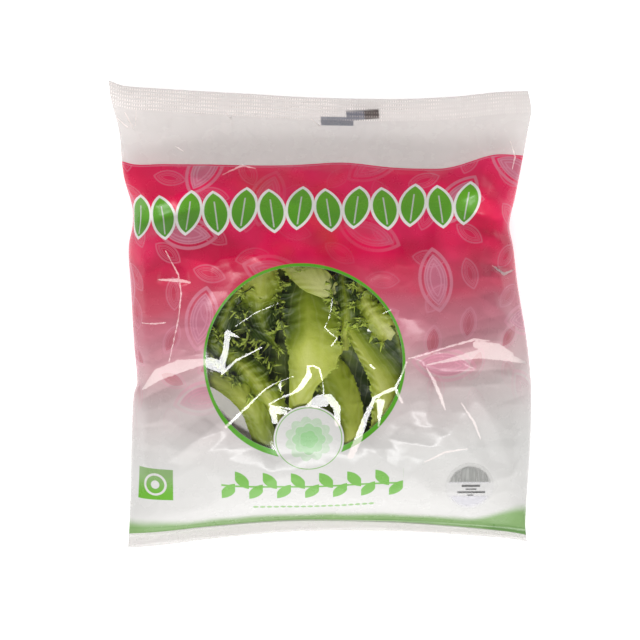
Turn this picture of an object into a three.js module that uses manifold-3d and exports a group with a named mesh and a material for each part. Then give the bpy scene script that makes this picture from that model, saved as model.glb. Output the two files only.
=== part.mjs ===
// A sealed bag of salad leaves, lying on its back on a table: a tube of thin film, crimped flat
// across the top and across the bottom, and swollen by the loose leaves that it holds. It can't be
// opened or emptied as it is, so film and leaves are one solid. A small round date label is stuck
// on the front. The length of the bag runs along Y, its top end at +Y, and its front faces up.

import * as THREE from "three";
import { mergeVertices } from "three/addons/utils/BufferGeometryUtils.js";
import Module from "manifold-3d";

// Driving dimensions of the filled bag, in millimetres
const HALF_LENGTH = 140; // centre of the bag to each cut edge, along its middle
const SEAL_THICKNESS = 0.8; // both layers of film where they are sealed together
const SIDE_FADE = 0.1; // share of the half width over which folds die out at a side edge
const END_FADE = 16; // length over which folds die out at a seal
const TABLE_DEPTH = 20; // more than the underside sags before the table flattens it

// Where the side edges run, as [distance along the bag, distance from its centre line]
const LEFT_EDGE = [
  [-140, -120.5],
  [-115, -118.8],
  [-80, -117.5],
  [-50, -116],
  [-42, -113.8],
  [-20, -115.5],
  [15, -117.5],
  [42, -119],
  [56, -116.5],
  [66, -116.8],
  [85, -122.5],
  [110, -125.6],
  [128, -130.5],
  [140, -132],
];
const RIGHT_EDGE = [
  [-140, 129.4],
  [-128, 128.2],
  [-80, 130.6],
  [-45, 131],
  [-15, 128],
  [18, 122.5],
  [42, 119.8],
  [56, 117.5],
  [74, 121.3],
  [98, 126.3],
  [115, 129.5],
  [128, 131.8],
  [140, 130],
];

// How far the cut edges stand off from a straight cut, as [share of the half width, offset]
const TOP_EDGE = [
  [-1, 6.2],
  [-0.93, 3],
  [-0.78, 1.6],
  [-0.4, -1.2],
  [0, -4.2],
  [0.35, -5],
  [0.65, -3.4],
  [0.86, -0.6],
  [1, 0],
];
const BOTTOM_EDGE = [
  [-1, -6.2],
  [-0.85, -4.6],
  [-0.6, -0.8],
  [-0.2, 3.8],
  [0.25, 4.6],
  [0.6, 2.6],
  [0.9, -0.2],
  [1, -2],
];
const END_BEND = 90; // length over which the rows of the film straighten behind a curved cut

// Height of the side fold, and how far the film stands above and below it along the middle,
// as [distance along the bag, height]
const SIDE_HEIGHT = [
  [-140, 3],
  [-132, 3.6],
  [-117, 9],
  [-85, 16],
  [-30, 19],
  [30, 19.5],
  [70, 17],
  [100, 12.5],
  [126, 8],
  [140, 5],
];
const FRONT_SWELL = [
  [-132, 0],
  [-127, 8],
  [-119, 17.5],
  [-108, 26],
  [-92, 32],
  [-68, 36],
  [-30, 38.5],
  [20, 38.5],
  [55, 35],
  [80, 26],
  [100, 16],
  [115, 7],
  [126, 0],
];
const BACK_SWELL = [
  [-132, 0],
  [-125, 3.5],
  [-114, 10],
  [-98, 17],
  [-70, 21.5],
  [-30, 23],
  [30, 23.5],
  [70, 19],
  [90, 12],
  [108, 6],
  [126, 0],
];
const FRONT_CROWN = 2.5; // power of the front's cross curve: 2 is an ellipse, more is flatter
const BACK_CROWN = 4;

// Leaves that press the front out, and hollows between them: [across, along, radius, height]
const LUMPS = [
  [88, -64, 30, 4.5],
  [60, -30, 22, -3],
  [98, -8, 24, 3],
  [-88, -74, 26, 3.5],
  [-92, -38, 20, -2.5],
  [-70, 40, 30, 3],
  [40, 48, 34, 2.5],
  [-8, 12, 36, 2],
  [-40, -50, 26, 2.5],
  [12, -96, 34, 2],
  [92, 40, 22, -2.5],
];

// Long creases in the front: where each starts and ends, its half width and its height
const CREASES = [
  { from: [-90, -89], to: [-40, -48], width: 9, height: 2.6 },
  { from: [53, -27], to: [112, -16], width: 9, height: 3 },
  { from: [62, -36], to: [124, -33], width: 9, height: -3.4 },
  { from: [64, -32], to: [63, -68], width: 8, height: 2 },
  { from: [30, -84], to: [52, -30], width: 8, height: 2.2 },
  { from: [-116, -55], to: [-84, -40], width: 8, height: -3 },
  { from: [-117, 56], to: [-70, 66], width: 11, height: -4.5 },
  { from: [118, 56], to: [82, 66], width: 11, height: -4.5 },
  { from: [122, 28], to: [98, 32], width: 8, height: -3 },
];
const CORNER_LIFT = { across: -1, along: 140, share: 0.14, length: 16, height: 7 };

// The faceted surface: columns across and rows along, closer together at the edges
const COLUMNS = 40;
const ROWS = 44;
const EDGE_CROWDING = 0.45;

// The round date label on the front
const LABEL = { across: 0.7, along: -107, radius: 15, gap: 0.35, thickness: 0.4, rings: 3, sides: 24 };

const FILM = { color: 0xd8577c, roughness: 0.28, metalness: 0 };
const LABEL_FILM = { color: 0xd9d9d6, roughness: 0.2, metalness: 0 };

// A smooth function through [position, value] knots, level beyond the first and the last
function smoothThrough(knots) {
  const last = knots.length - 1;
  const slopes = knots.map((_, i) => {
    const [before, after] = [knots[Math.max(i - 1, 0)], knots[Math.min(i + 1, last)]];
    return (after[1] - before[1]) / (after[0] - before[0]);
  });
  return (position) => {
    if (position <= knots[0][0]) return knots[0][1];
    if (position >= knots[last][0]) return knots[last][1];
    const i = knots.findIndex(([at]) => at > position) - 1;
    const step = knots[i + 1][0] - knots[i][0];
    const t = (position - knots[i][0]) / step;
    const rise = t * t * (3 - 2 * t);
    return (
      knots[i][1] * (1 - rise) +
      knots[i + 1][1] * rise +
      slopes[i] * step * t * (1 - t) ** 2 -
      slopes[i + 1] * step * t * t * (1 - t)
    );
  };
}

const leftEdge = smoothThrough(LEFT_EDGE);
const rightEdge = smoothThrough(RIGHT_EDGE);
const topEdge = smoothThrough(TOP_EDGE);
const bottomEdge = smoothThrough(BOTTOM_EDGE);
const sideHeight = smoothThrough(SIDE_HEIGHT);
const frontSwell = smoothThrough(FRONT_SWELL);
const backSwell = smoothThrough(BACK_SWELL);

const ramp = (t) => THREE.MathUtils.smoothstep(t, 0, 1);
const crown = (across, power) => Math.max(0, 1 - Math.abs(across) ** power) ** 0.6;

// Across runs from -1 at the left edge to 1 at the right, along from -HALF_LENGTH to HALF_LENGTH
function plan(across, along) {
  const middle = (leftEdge(along) + rightEdge(along)) / 2;
  const half = (rightEdge(along) - leftEdge(along)) / 2;
  const nearTop = ramp(1 - (HALF_LENGTH - along) / END_BEND);
  const nearBottom = ramp(1 - (along + HALF_LENGTH) / END_BEND);
  return [
    middle + half * across,
    along + topEdge(across) * nearTop + bottomEdge(across) * nearBottom,
  ];
}

// A round push in or out, and a crease with a sharp ridge that fades towards both of its ends
const lump = (x, y, [cx, cy, radius, height]) =>
  height * Math.exp(-((x - cx) ** 2 + (y - cy) ** 2) / radius ** 2);

function crease(x, y, { from, to, width, height }) {
  const [dx, dy] = [to[0] - from[0], to[1] - from[1]];
  const t = ((x - from[0]) * dx + (y - from[1]) * dy) / (dx * dx + dy * dy);
  if (t <= 0 || t >= 1) return 0;
  const off = Math.abs((x - from[0]) * dy - (y - from[1]) * dx) / Math.hypot(dx, dy);
  return height * Math.max(0, 1 - off / width) * Math.sin(Math.PI * t) ** 0.7;
}

function relief(across, along) {
  const [x, y] = plan(across, along);
  const clear =
    ramp((1 - Math.abs(across)) / SIDE_FADE) *
    ramp((FRONT_SWELL.at(-1)[0] - along) / END_FADE) *
    ramp((along - FRONT_SWELL[0][0]) / END_FADE);
  const lumps = LUMPS.reduce((sum, l) => sum + lump(x, y, l), 0);
  const creases = CREASES.reduce((sum, c) => sum + crease(x, y, c), 0);
  return clear * (lumps + creases);
}

// The middle of the film's two layers, which waves a little along the flat seals
function middleHeight(across, along) {
  const seal = 1 - ramp(Math.min(1, frontSwell(along) / 20));
  const wave = Math.sin(across * 7 + 0.6) + 0.6 * Math.sin(across * 13 - 1);
  const { across: cx, along: cy, share, length, height } = CORNER_LIFT;
  const lift = height * Math.exp(-(((across - cx) / share) ** 2) - ((along - cy) / length) ** 2);
  return sideHeight(along) + 0.9 * seal * wave + lift;
}

function frontPoint(across, along) {
  const height =
    middleHeight(across, along) +
    SEAL_THICKNESS / 2 +
    frontSwell(along) * crown(across, FRONT_CROWN) +
    relief(across, along);
  return new THREE.Vector3(...plan(across, along), height);
}

function backPoint(across, along) {
  const height =
    middleHeight(across, along) - SEAL_THICKNESS / 2 - backSwell(along) * crown(across, BACK_CROWN);
  return new THREE.Vector3(...plan(across, along), height);
}

// A share from -1 to 1, with steps that shorten towards both ends
const crowded = (u) => (1 - EDGE_CROWDING) * u + EDGE_CROWDING * Math.sin((Math.PI / 2) * u);

// A closed sheet from two grids of points, top and bottom, joined round their rims
function sheetGeometry(top, bottom, columns, rows) {
  const points = [...top, ...bottom];
  const at = (layer, i, j) => layer * top.length + j * (columns + 1) + i;
  const faces = [];
  const quad = (a, b, c, d) => faces.push(a, b, c, a, c, d);
  for (let j = 0; j < rows; j++)
    for (let i = 0; i < columns; i++) {
      quad(at(0, i, j), at(0, i + 1, j), at(0, i + 1, j + 1), at(0, i, j + 1));
      quad(at(1, i, j), at(1, i, j + 1), at(1, i + 1, j + 1), at(1, i + 1, j));
    }
  for (let i = 0; i < columns; i++) {
    quad(at(1, i, 0), at(1, i + 1, 0), at(0, i + 1, 0), at(0, i, 0));
    quad(at(0, i, rows), at(0, i + 1, rows), at(1, i + 1, rows), at(1, i, rows));
  }
  for (let j = 0; j < rows; j++) {
    quad(at(0, 0, j), at(0, 0, j + 1), at(1, 0, j + 1), at(1, 0, j));
    quad(at(1, columns, j), at(1, columns, j + 1), at(0, columns, j + 1), at(0, columns, j));
  }
  const geometry = new THREE.BufferGeometry().setFromPoints(points);
  return geometry.setIndex(faces);
}

function bagGeometry() {
  const grid = (pointAt) => {
    const points = [];
    for (let j = 0; j <= ROWS; j++)
      for (let i = 0; i <= COLUMNS; i++) {
        const along = HALF_LENGTH * crowded((2 * j) / ROWS - 1);
        points.push(pointAt(crowded((2 * i) / COLUMNS - 1), along));
      }
    return points;
  };
  return sheetGeometry(grid(frontPoint), grid(backPoint), COLUMNS, ROWS);
}

const wasm = await Module();
wasm.setup();

function toSolid(geometry) {
  const bare = new THREE.BufferGeometry().setAttribute("position", geometry.getAttribute("position"));
  const merged = mergeVertices(bare.setIndex(geometry.getIndex()));
  return new wasm.Manifold(
    new wasm.Mesh({
      numProp: 3,
      vertProperties: new Float32Array(merged.getAttribute("position").array),
      triVerts: new Uint32Array(merged.getIndex().array),
    }),
  );
}

function toGeometry(solid) {
  const { vertProperties, triVerts } = solid.getMesh();
  const geometry = new THREE.BufferGeometry();
  geometry.setAttribute("position", new THREE.BufferAttribute(vertProperties, 3));
  return geometry.setIndex(new THREE.BufferAttribute(triVerts, 1));
}

// The table cuts off what would sag below it, which leaves the flat patch that the bag lies on
function flattenedByTable(geometry) {
  const size = 4 * HALF_LENGTH;
  const table = new THREE.BoxGeometry(size, size, TABLE_DEPTH).translate(0, 0, -TABLE_DEPTH / 2);
  return toGeometry(toSolid(geometry).subtract(toSolid(table)));
}

// The label follows the front of the bag, a hair above it
function labelGeometry() {
  const { across, along, radius, gap, thickness, rings, sides } = LABEL;
  const halfWidth = (rightEdge(along) - leftEdge(along)) / 2;
  const layer = (above) => {
    const points = [];
    for (let ring = 0; ring <= rings; ring++)
      for (let side = 0; side < (ring ? sides : 1); side++) {
        const angle = (2 * Math.PI * side) / sides;
        const reach = (radius * ring) / rings;
        const point = frontPoint(
          across + (reach * Math.cos(angle)) / halfWidth,
          along + reach * Math.sin(angle),
        );
        points.push(point.setZ(point.z + above));
      }
    return points;
  };
  const top = layer(gap + thickness);
  const points = [...top, ...layer(gap)];
  const at = (level, ring, side) =>
    level * top.length + (ring ? 1 + (ring - 1) * sides + (side % sides) : 0);
  const faces = [];
  for (let side = 0; side < sides; side++) {
    faces.push(at(0, 0, 0), at(0, 1, side), at(0, 1, side + 1));
    faces.push(at(1, 0, 0), at(1, 1, side + 1), at(1, 1, side));
    for (let ring = 1; ring < rings; ring++)
      for (const level of [0, 1]) {
        const [a, b] = level ? [side + 1, side] : [side, side + 1];
        faces.push(at(level, ring, a), at(level, ring + 1, a), at(level, ring + 1, b));
        faces.push(at(level, ring, a), at(level, ring + 1, b), at(level, ring, b));
      }
    faces.push(at(0, rings, side), at(1, rings, side), at(1, rings, side + 1));
    faces.push(at(0, rings, side), at(1, rings, side + 1), at(0, rings, side + 1));
  }
  return new THREE.BufferGeometry().setFromPoints(points).setIndex(faces);
}

function piece(name, geometry, finish) {
  const mesh = new THREE.Mesh(geometry, new THREE.MeshStandardMaterial(finish));
  mesh.name = name;
  return mesh;
}

const bag = flattenedByTable(bagGeometry());
const label = labelGeometry();

// The middle of the bag's footprint is the origin
bag.computeBoundingBox();
const centre = bag.boundingBox.getCenter(new THREE.Vector3());
for (const geometry of [bag, label]) {
  geometry.translate(-centre.x, -centre.y, 0);
  geometry.computeVertexNormals();
}

const saladBag = new THREE.Group();
saladBag.add(piece("bag", bag, FILM));
saladBag.add(piece("date_label", label, LABEL_FILM));

export default saladBag;
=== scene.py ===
# %% [markdown]
# A sealed bag of salad leaves, lying on its back and seen from straight above.
#
# The bag is a tube of thin printed film, crimped flat at both ends and swollen by loose lettuce. Its
# CAD model is one plain solid, because nothing in it moves. Here the solid is replaced by what it is
# really made of: the film with its folds, print and clear window, and the leaves that show through.
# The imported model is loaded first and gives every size: nothing below moves or changes it.

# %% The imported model
import math

import bpy
import numpy as np
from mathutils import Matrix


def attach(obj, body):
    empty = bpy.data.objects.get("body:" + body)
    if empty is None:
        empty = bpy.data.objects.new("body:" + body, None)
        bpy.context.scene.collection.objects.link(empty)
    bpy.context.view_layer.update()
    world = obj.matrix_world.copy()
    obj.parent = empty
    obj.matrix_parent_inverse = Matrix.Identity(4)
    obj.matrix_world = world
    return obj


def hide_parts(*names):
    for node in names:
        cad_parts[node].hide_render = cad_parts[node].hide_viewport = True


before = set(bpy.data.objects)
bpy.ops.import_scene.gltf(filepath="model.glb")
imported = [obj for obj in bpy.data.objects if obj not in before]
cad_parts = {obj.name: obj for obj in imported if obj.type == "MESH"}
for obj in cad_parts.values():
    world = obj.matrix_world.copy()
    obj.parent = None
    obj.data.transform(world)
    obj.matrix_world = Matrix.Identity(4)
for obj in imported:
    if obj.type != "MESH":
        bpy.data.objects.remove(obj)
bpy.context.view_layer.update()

MM = 0.001  # shapes below are worked out in millimetres, and Blender's meshes are in metres

# %% [markdown]
# The camera looks straight down from well above the bag. A long lens from far away keeps the sides
# from spreading, as in a product photograph. It comes before the pieces, because its place depends
# on the photograph alone.

# %% Camera
FRAME_WIDTH = 397.5  # what the picture spans, level with the bag's side edges
CAMERA_HEIGHT = 1800
SIDE_EDGE_HEIGHT = 19
FRAME_MIDDLE = (-0.2, -3.3)  # where the middle of the picture falls, seen from the bag's middle
SENSOR_WIDTH = 36

camera_data = bpy.data.cameras.new("camera")
camera_data.sensor_width = SENSOR_WIDTH
camera_data.lens = SENSOR_WIDTH * (CAMERA_HEIGHT - SIDE_EDGE_HEIGHT) / FRAME_WIDTH
camera = bpy.data.objects.new("camera", camera_data)
camera.location = (FRAME_MIDDLE[0] * MM, FRAME_MIDDLE[1] * MM, CAMERA_HEIGHT * MM)
bpy.context.scene.collection.objects.link(camera)
bpy.context.scene.camera = camera
print("lens:", round(camera_data.lens, 1), "mm")

# %% [markdown]
# The bag lies in a white tent. Its top is open for the camera, so the sky is dim overhead and bright
# lower down: flat film over dark leaves then stays clear, and film that tilts any way picks up a sheen.
# A long softbox beyond the bottom end gives the bright lines on the folds, and the header, which slopes
# away from it, turns a soft grey. The plain view transform keeps printed colours as they are, where a
# filmic one would grey them.

# %% Light and floor
SKY_COLOUR = (1.0, 0.985, 0.97)
SKY_STRENGTH = {"overhead": 0.06, "around": 0.42}
SKY_TILT = 0.3  # how much brighter the sky is beyond the bottom end, and dimmer beyond the top
SKY_OPENING = (0.955, 0.76)  # sines of the elevations where the opening is darkest and where it ends
SOFTBOX = {"place": (-0.1, -0.85, 1.45), "size": (2.2, 0.38), "power": 22.5}
FLOOR_SIDE = 6.0
FLOOR_COLOUR = (0.99, 0.99, 0.99, 1)
FLOOR_GLOW = 0.55  # the table is lit through from below

scene = bpy.context.scene
scene.view_settings.view_transform = "Standard"
world = bpy.data.worlds.new("sky")
world.use_nodes = True
sky = world.node_tree
direction = sky.nodes.new("ShaderNodeTexCoord")
height = sky.nodes.new("ShaderNodeSeparateXYZ")
glow = sky.nodes.new("ShaderNodeMapRange")
glow.interpolation_type = "SMOOTHSTEP"
for socket, value in zip(glow.inputs[1:5], (*SKY_OPENING, SKY_STRENGTH["overhead"], SKY_STRENGTH["around"])):
    socket.default_value = value
sky.links.new(direction.outputs["Generated"], height.inputs[0])
sky.links.new(height.outputs["Z"], glow.inputs[0])
tilt = sky.nodes.new("ShaderNodeMapRange")
for socket, value in zip(tilt.inputs[1:5], (-1, 1, 1 + SKY_TILT, 1 - SKY_TILT)):
    socket.default_value = value
both = sky.nodes.new("ShaderNodeMath")
both.operation = "MULTIPLY"
sky.links.new(height.outputs["Y"], tilt.inputs[0])
sky.links.new(glow.outputs[0], both.inputs[0])
sky.links.new(tilt.outputs[0], both.inputs[1])
sky.links.new(both.outputs[0], sky.nodes["Background"].inputs["Strength"])
sky.nodes["Background"].inputs["Color"].default_value = (*SKY_COLOUR, 1)
scene.world = world


def softbox(name, place, size, power):
    """A rectangular lamp at place that faces the middle of the bag."""
    data = bpy.data.lights.new(name, "AREA")
    data.shape = "RECTANGLE"
    data.size, data.size_y = size
    data.energy = power
    lamp = bpy.data.objects.new(name, data)
    lamp.location = place
    towards = -lamp.location
    lamp.rotation_euler = towards.to_track_quat("-Z", "Y").to_euler()
    scene.collection.objects.link(lamp)
    return lamp


softbox("softbox", **SOFTBOX)

floor_data = bpy.data.meshes.new("floor")
half = FLOOR_SIDE / 2
floor_corners = [(-half, -half, 0), (half, -half, 0), (half, half, 0), (-half, half, 0)]
floor_data.from_pydata(floor_corners, [], [(0, 1, 2, 3)])
floor = bpy.data.objects.new("floor", floor_data)
scene.collection.objects.link(floor)
floor_finish = bpy.data.materials.new("floor")
floor_finish.use_nodes = True
table_top = floor_finish.node_tree.nodes["Principled BSDF"]
table_top.inputs["Base Color"].default_value = FLOOR_COLOUR
table_top.inputs["Roughness"].default_value = 0.9
table_top.inputs["Emission Color"].default_value = FLOOR_COLOUR
table_top.inputs["Emission Strength"].default_value = FLOOR_GLOW
floor_data.materials.append(floor_finish)
print("floor side:", FLOOR_SIDE, "m")

# %% [markdown]
# The bag's form. A filled pillow bag could be inflated by a cloth simulation, but then its outline
# would fall where the solver lets it. Here the outline is known, so the film is worked out instead:
# each place on the bag has two coordinates, `across` from -1 at the left edge to 1 at the right, and
# `along` in millimetres from the middle towards the header. The knots are those of the CAD solid, so
# the film lies exactly where the solid does, and the finer folds are added to it afterwards.

# %% Smooth curves through knots
HALF_LENGTH = 140  # centre of the bag to each cut edge, along its middle
SEAL_THICKNESS = 0.8
SIDE_FADE = 0.1
END_FADE = 16
END_BEND = 90


def smooth_through(*knots):
    """A curve through (position, value) knots. Between two of them, with t from 0 to 1 and rise =
    t*t*(3 - 2t), it is v0*(1 - rise) + v1*rise + step*(m0*t*(1 - t)^2 - m1*t*t*(1 - t)), where m0
    and m1 are the slopes between each knot's neighbours. Beyond the ends it stays level."""
    at, value = np.array(knots, float).T
    order = np.arange(len(at))
    before, after = np.maximum(order - 1, 0), np.minimum(order + 1, len(at) - 1)
    slope = (value[after] - value[before]) / (at[after] - at[before])

    def curve(position):
        i = np.clip(np.searchsorted(at, position) - 1, 0, len(at) - 2)
        step = at[i + 1] - at[i]
        t = np.clip((position - at[i]) / step, 0, 1)
        rise = t * t * (3 - 2 * t)
        bend = slope[i] * t * (1 - t) ** 2 - slope[i + 1] * t * t * (1 - t)
        return value[i] * (1 - rise) + value[i + 1] * rise + step * bend

    return curve


left_edge = smooth_through(
    (-140, -120.5), (-115, -118.8), (-80, -117.5), (-50, -116), (-42, -113.8), (-20, -115.5), (15, -117.5),
    (42, -119), (56, -116.5), (66, -116.8), (85, -122.5), (110, -125.6), (128, -130.5), (140, -132),
)
right_edge = smooth_through(
    (-140, 129.4), (-128, 128.2), (-80, 130.6), (-45, 131), (-15, 128), (18, 122.5), (42, 119.8),
    (56, 117.5), (74, 121.3), (98, 126.3), (115, 129.5), (128, 131.8), (140, 130),
)
top_edge = smooth_through(
    (-1, 6.2), (-0.93, 3), (-0.78, 1.6), (-0.4, -1.2), (0, -4.2), (0.35, -5), (0.65, -3.4),
    (0.86, -0.6), (1, 0),
)
bottom_edge = smooth_through(
    (-1, -6.2), (-0.85, -4.6), (-0.6, -0.8), (-0.2, 3.8), (0.25, 4.6), (0.6, 2.6), (0.9, -0.2), (1, -2)
)
side_height = smooth_through(
    (-140, 3), (-132, 3.6), (-117, 9), (-85, 16), (-30, 19), (30, 19.5), (70, 17), (100, 12.5),
    (126, 8), (140, 5),
)
front_swell = smooth_through(
    (-132, 0), (-127, 8), (-119, 17.5), (-108, 26), (-92, 32), (-68, 36), (-30, 38.5), (20, 38.5), (55, 35),
    (80, 26), (100, 16), (115, 7), (126, 0),
)
back_swell = smooth_through(
    (-132, 0), (-125, 3.5), (-114, 10), (-98, 17), (-70, 21.5), (-30, 23), (30, 23.5), (70, 19), (90, 12),
    (108, 6), (126, 0),
)
BOTTOM_SEAL, TOP_SEAL = -132, 126  # where the sealed ends begin
FRONT_CROWN, BACK_CROWN = 2.5, 4
print("front swells by", round(float(front_swell(np.array(0.0))), 1), "mm in the middle")

# %% The plan of the bag and its middle height


def ramp(t):
    """0 below 0, 1 above 1, and t*t*(3 - 2t) between."""
    t = np.clip(t, 0, 1)
    return t * t * (3 - 2 * t)


def crown(across, power):
    """How high the film stands across the bag: (1 - |across|^power)^0.6, 1 in the middle, 0 at an edge."""
    return np.clip(1 - np.abs(across) ** power, 0, None) ** 0.6


def plan(across, along):
    """Where a place lies seen from above. x = middle + across * half width, and y = along, moved by
    the curves of the two cut edges, which die out END_BEND away from them."""
    middle = (left_edge(along) + right_edge(along)) / 2
    half_width = (right_edge(along) - left_edge(along)) / 2
    near_top = ramp(1 - (HALF_LENGTH - along) / END_BEND)
    near_bottom = ramp(1 - (along + HALF_LENGTH) / END_BEND)
    y = along + top_edge(across) * near_top + bottom_edge(across) * near_bottom
    return middle + half_width * across, y


def place_of(x, y):
    """The reverse of plan, by repeating across = (x - middle) / half width and along = y - curves."""
    across, along = np.zeros_like(x), y
    for _ in range(4):
        middle = (left_edge(along) + right_edge(along)) / 2
        across = np.clip((x - middle) / ((right_edge(along) - left_edge(along)) / 2), -1, 1)
        along = np.clip(along + y - plan(across, along)[1], -HALF_LENGTH, HALF_LENGTH)
    return across, along


def middle_height(across, along):
    """Height half way between the two layers: the side edge's height, a slight wave along the flat
    seals, and one corner of the header that stands up a little."""
    seal = 1 - ramp(np.minimum(1, front_swell(along) / 20))
    wave = np.sin(across * 7 + 0.6) + 0.6 * np.sin(across * 13 - 1)
    lift = 7 * np.exp(-(((across + 1) / 0.14) ** 2) - ((along - 140) / 16) ** 2)
    return side_height(along) + 0.9 * seal * wave + lift


# %% [markdown]
# Film can't stretch, so it buckles. Three kinds of buckle make up the relief of the front. Broad lumps
# come from the leaves that push from inside. Long creases run between the points where the film is
# caught, and they are what the eye follows, so they are listed one by one. Everywhere else the film is
# faintly crumpled into facets: flat or bowl-like fields that meet at sharp ridges. The squared
# distance to the nearest of some scattered points is just such a surface.

# %% Kinds of relief


def lump(x, y, cx, cy, radius, height):
    """A round push: height * exp(-distance^2 / radius^2)."""
    return height * np.exp(-((x - cx) ** 2 + (y - cy) ** 2) / radius**2)


def fold(x, y, start, end, width, height):
    """A tent-shaped fold: height * (1 - off / width) at off from its line, times sin(pi t)^0.7 along it."""
    run = np.subtract(end, start)
    t = ((x - start[0]) * run[0] + (y - start[1]) * run[1]) / run.dot(run)
    off = np.abs((x - start[0]) * run[1] - (y - start[1]) * run[0]) / np.hypot(*run)
    along = np.sin(np.pi * np.clip(t, 0, 1)) ** 0.7
    return height * np.clip(1 - off / width, 0, None) * along


def crease(x, y, points, height, left, right):
    """A sharp ridge along a bent line, with a flat facet on each side: height * (fade - off / reach) at
    off from it, where reach is left or right by the side of the line, and fade falls to 0 over the last
    quarter at each end. So the facets keep their slope and come to a point."""
    points = np.array(points, float)
    runs = np.diff(points, axis=0)
    lengths = np.hypot(*runs.T)
    before = np.concatenate([[0], np.cumsum(lengths)])
    nearest, side, share = np.full(x.shape, 1e9), np.ones(x.shape), np.zeros(x.shape)
    for start, run, length, done in zip(points, runs, lengths, before):
        t = np.clip(((x - start[0]) * run[0] + (y - start[1]) * run[1]) / length**2, 0, 1)
        dx, dy = x - start[0] - t * run[0], y - start[1] - t * run[1]
        off = np.hypot(dx, dy)
        closer = off < nearest
        nearest = np.where(closer, off, nearest)
        side = np.where(closer, run[0] * dy - run[1] * dx, side)
        share = np.where(closer, (done + t * length) / before[-1], share)
    fade = ramp(share / 0.25) * ramp((1 - share) / 0.25)
    return height * np.clip(fade - nearest / np.where(side > 0, left, right), 0, None)


def crumple(x, y, spacing, seed):
    """Facets: the squared distance to the nearest scattered point, in units of spacing squared. There
    is one point in each square cell, placed by a seeded draw, so only 9 cells can hold the nearest."""
    cells = 64
    jitter = np.random.default_rng(seed).uniform(0.05, 0.95, (cells, cells, 2))
    cx, cy = x / spacing + cells / 2, y / spacing + cells / 2
    ix, iy = np.floor(cx).astype(int), np.floor(cy).astype(int)
    nearest = np.full(x.shape, 9.0)
    for ox in (-1, 0, 1):
        for oy in (-1, 0, 1):
            point = jitter[(ix + ox) % cells, (iy + oy) % cells]
            gap = (cx - ix - ox - point[..., 0]) ** 2 + (cy - iy - oy - point[..., 1]) ** 2
            nearest = np.minimum(nearest, gap)
    return nearest


# %% [markdown]
# The places below are millimetres from the middle of the bag, x to the right and y towards the
# header. The first lumps and folds are the CAD solid's own. The fine lumps, the creases and the
# crumpled facets are smaller and are only here. Over the window the leaves hold the film tight, so
# folds and facets nearly die out there.

# %% Where the lumps, folds and creases are
LUMPS = (
    (88, -64, 30, 4.5), (60, -30, 22, -3), (98, -8, 24, 3), (-88, -74, 26, 3.5), (-92, -38, 20, -2.5),
    (-70, 40, 30, 3), (40, 48, 34, 2.5), (-8, 12, 36, 2), (-40, -50, 26, 2.5), (12, -96, 34, 2),
    (92, 40, 22, -2.5),
)
FOLDS = (
    ((-90, -89), (-40, -48), 9, 2.6), ((53, -27), (112, -16), 9, 3), ((62, -36), (124, -33), 9, -3.4),
    ((64, -32), (63, -68), 8, 2), ((30, -84), (52, -30), 8, 2.2), ((-116, -55), (-84, -40), 8, -3),
    ((-117, 56), (-70, 66), 11, -4.5), ((118, 56), (82, 66), 11, -4.5), ((122, 28), (98, 32), 8, -3),
)
FINE_LUMPS = ((-34, -97, 27, 4.6), (28, -98, 27, 4.6), (-72, -20, 12, 1.8), (-58, -86, 18, 2.6))
CRUMPLES = ((33, 4.2, 5), (14, 1.1, 6), (6, 0.2, 7))  # spacing, height and seed of each
TIGHT = {"x": -9.5, "y": -27.8, "radius": 72, "fade": 16, "share": 0.92}
# Each crease is (its points, height, reach on its left, reach on its right)
CREASES = (
    (((-102, 20), (-88, 22), (-79, 19)), 1.6, 8, 3),
    (((-98, 39), (-87, 24), (-86, 4), (-93, -30)), 1.0, 6, 1.6),
    (((-116, -44), (-106, -35), (-90, -27), (-71, -24)), 2.4, 16, 8),
    (((54, -27), (93, -15), (112, -17), (128, -31)), 3.6, 26, 11),
    (((62, -31), (94, -25.5), (126, -31)), -1.4, 5, 14),
    (((60, -28), (66, -44), (63, -69)), 1.6, 4, 9),
    (((90, -41), (106, -66), (119, -97)), 1.8, 14, 10),
    (((-96, -92), (-76, -78), (-58, -70)), 2.0, 14, 7),
    (((-112, -28), (-96, -20), (-80, -22)), 1.4, 9, 6),
    (((40, -75), (62, -80), (84, -82)), 1.6, 12, 8),
    (((-84, 88), (-66, 80), (-50, 74)), 1.6, 10, 7),
    (((-30, 92), (10, 86), (34, 94)), 1.2, 10, 7),
    (((60, 90), (84, 76), (112, 80)), 1.6, 10, 7),
    (((-118, 60), (-90, 72), (-60, 100)), 1.9, 12, 9),
    (((118, 58), (96, 76), (84, 104)), 2.0, 12, 9),
    (((96, 12), (112, 2), (124, -8)), 1.6, 8, 7),
    (((98, 44), (112, 38), (122, 40)), -2.0, 7, 6),
    (((104, 28), (112, 24), (122, 24)), 1.8, 5, 7),
    (((-60, -88), (-30, -96), (10, -92)), 1.2, 10, 8),
)
print("creases:", len(CREASES))

# %% [markdown]
# Where the flat seals meet the swollen part, the film is gathered: short puckers run from each seal
# into the bag, and from each side edge inwards. They are drawn at random, but from a fixed seed, so
# that every run gives the same bag.

# %% The whole front
PUCKER_SEED = 11
END_PUCKERS = 26
SIDE_PUCKERS = 15


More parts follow.
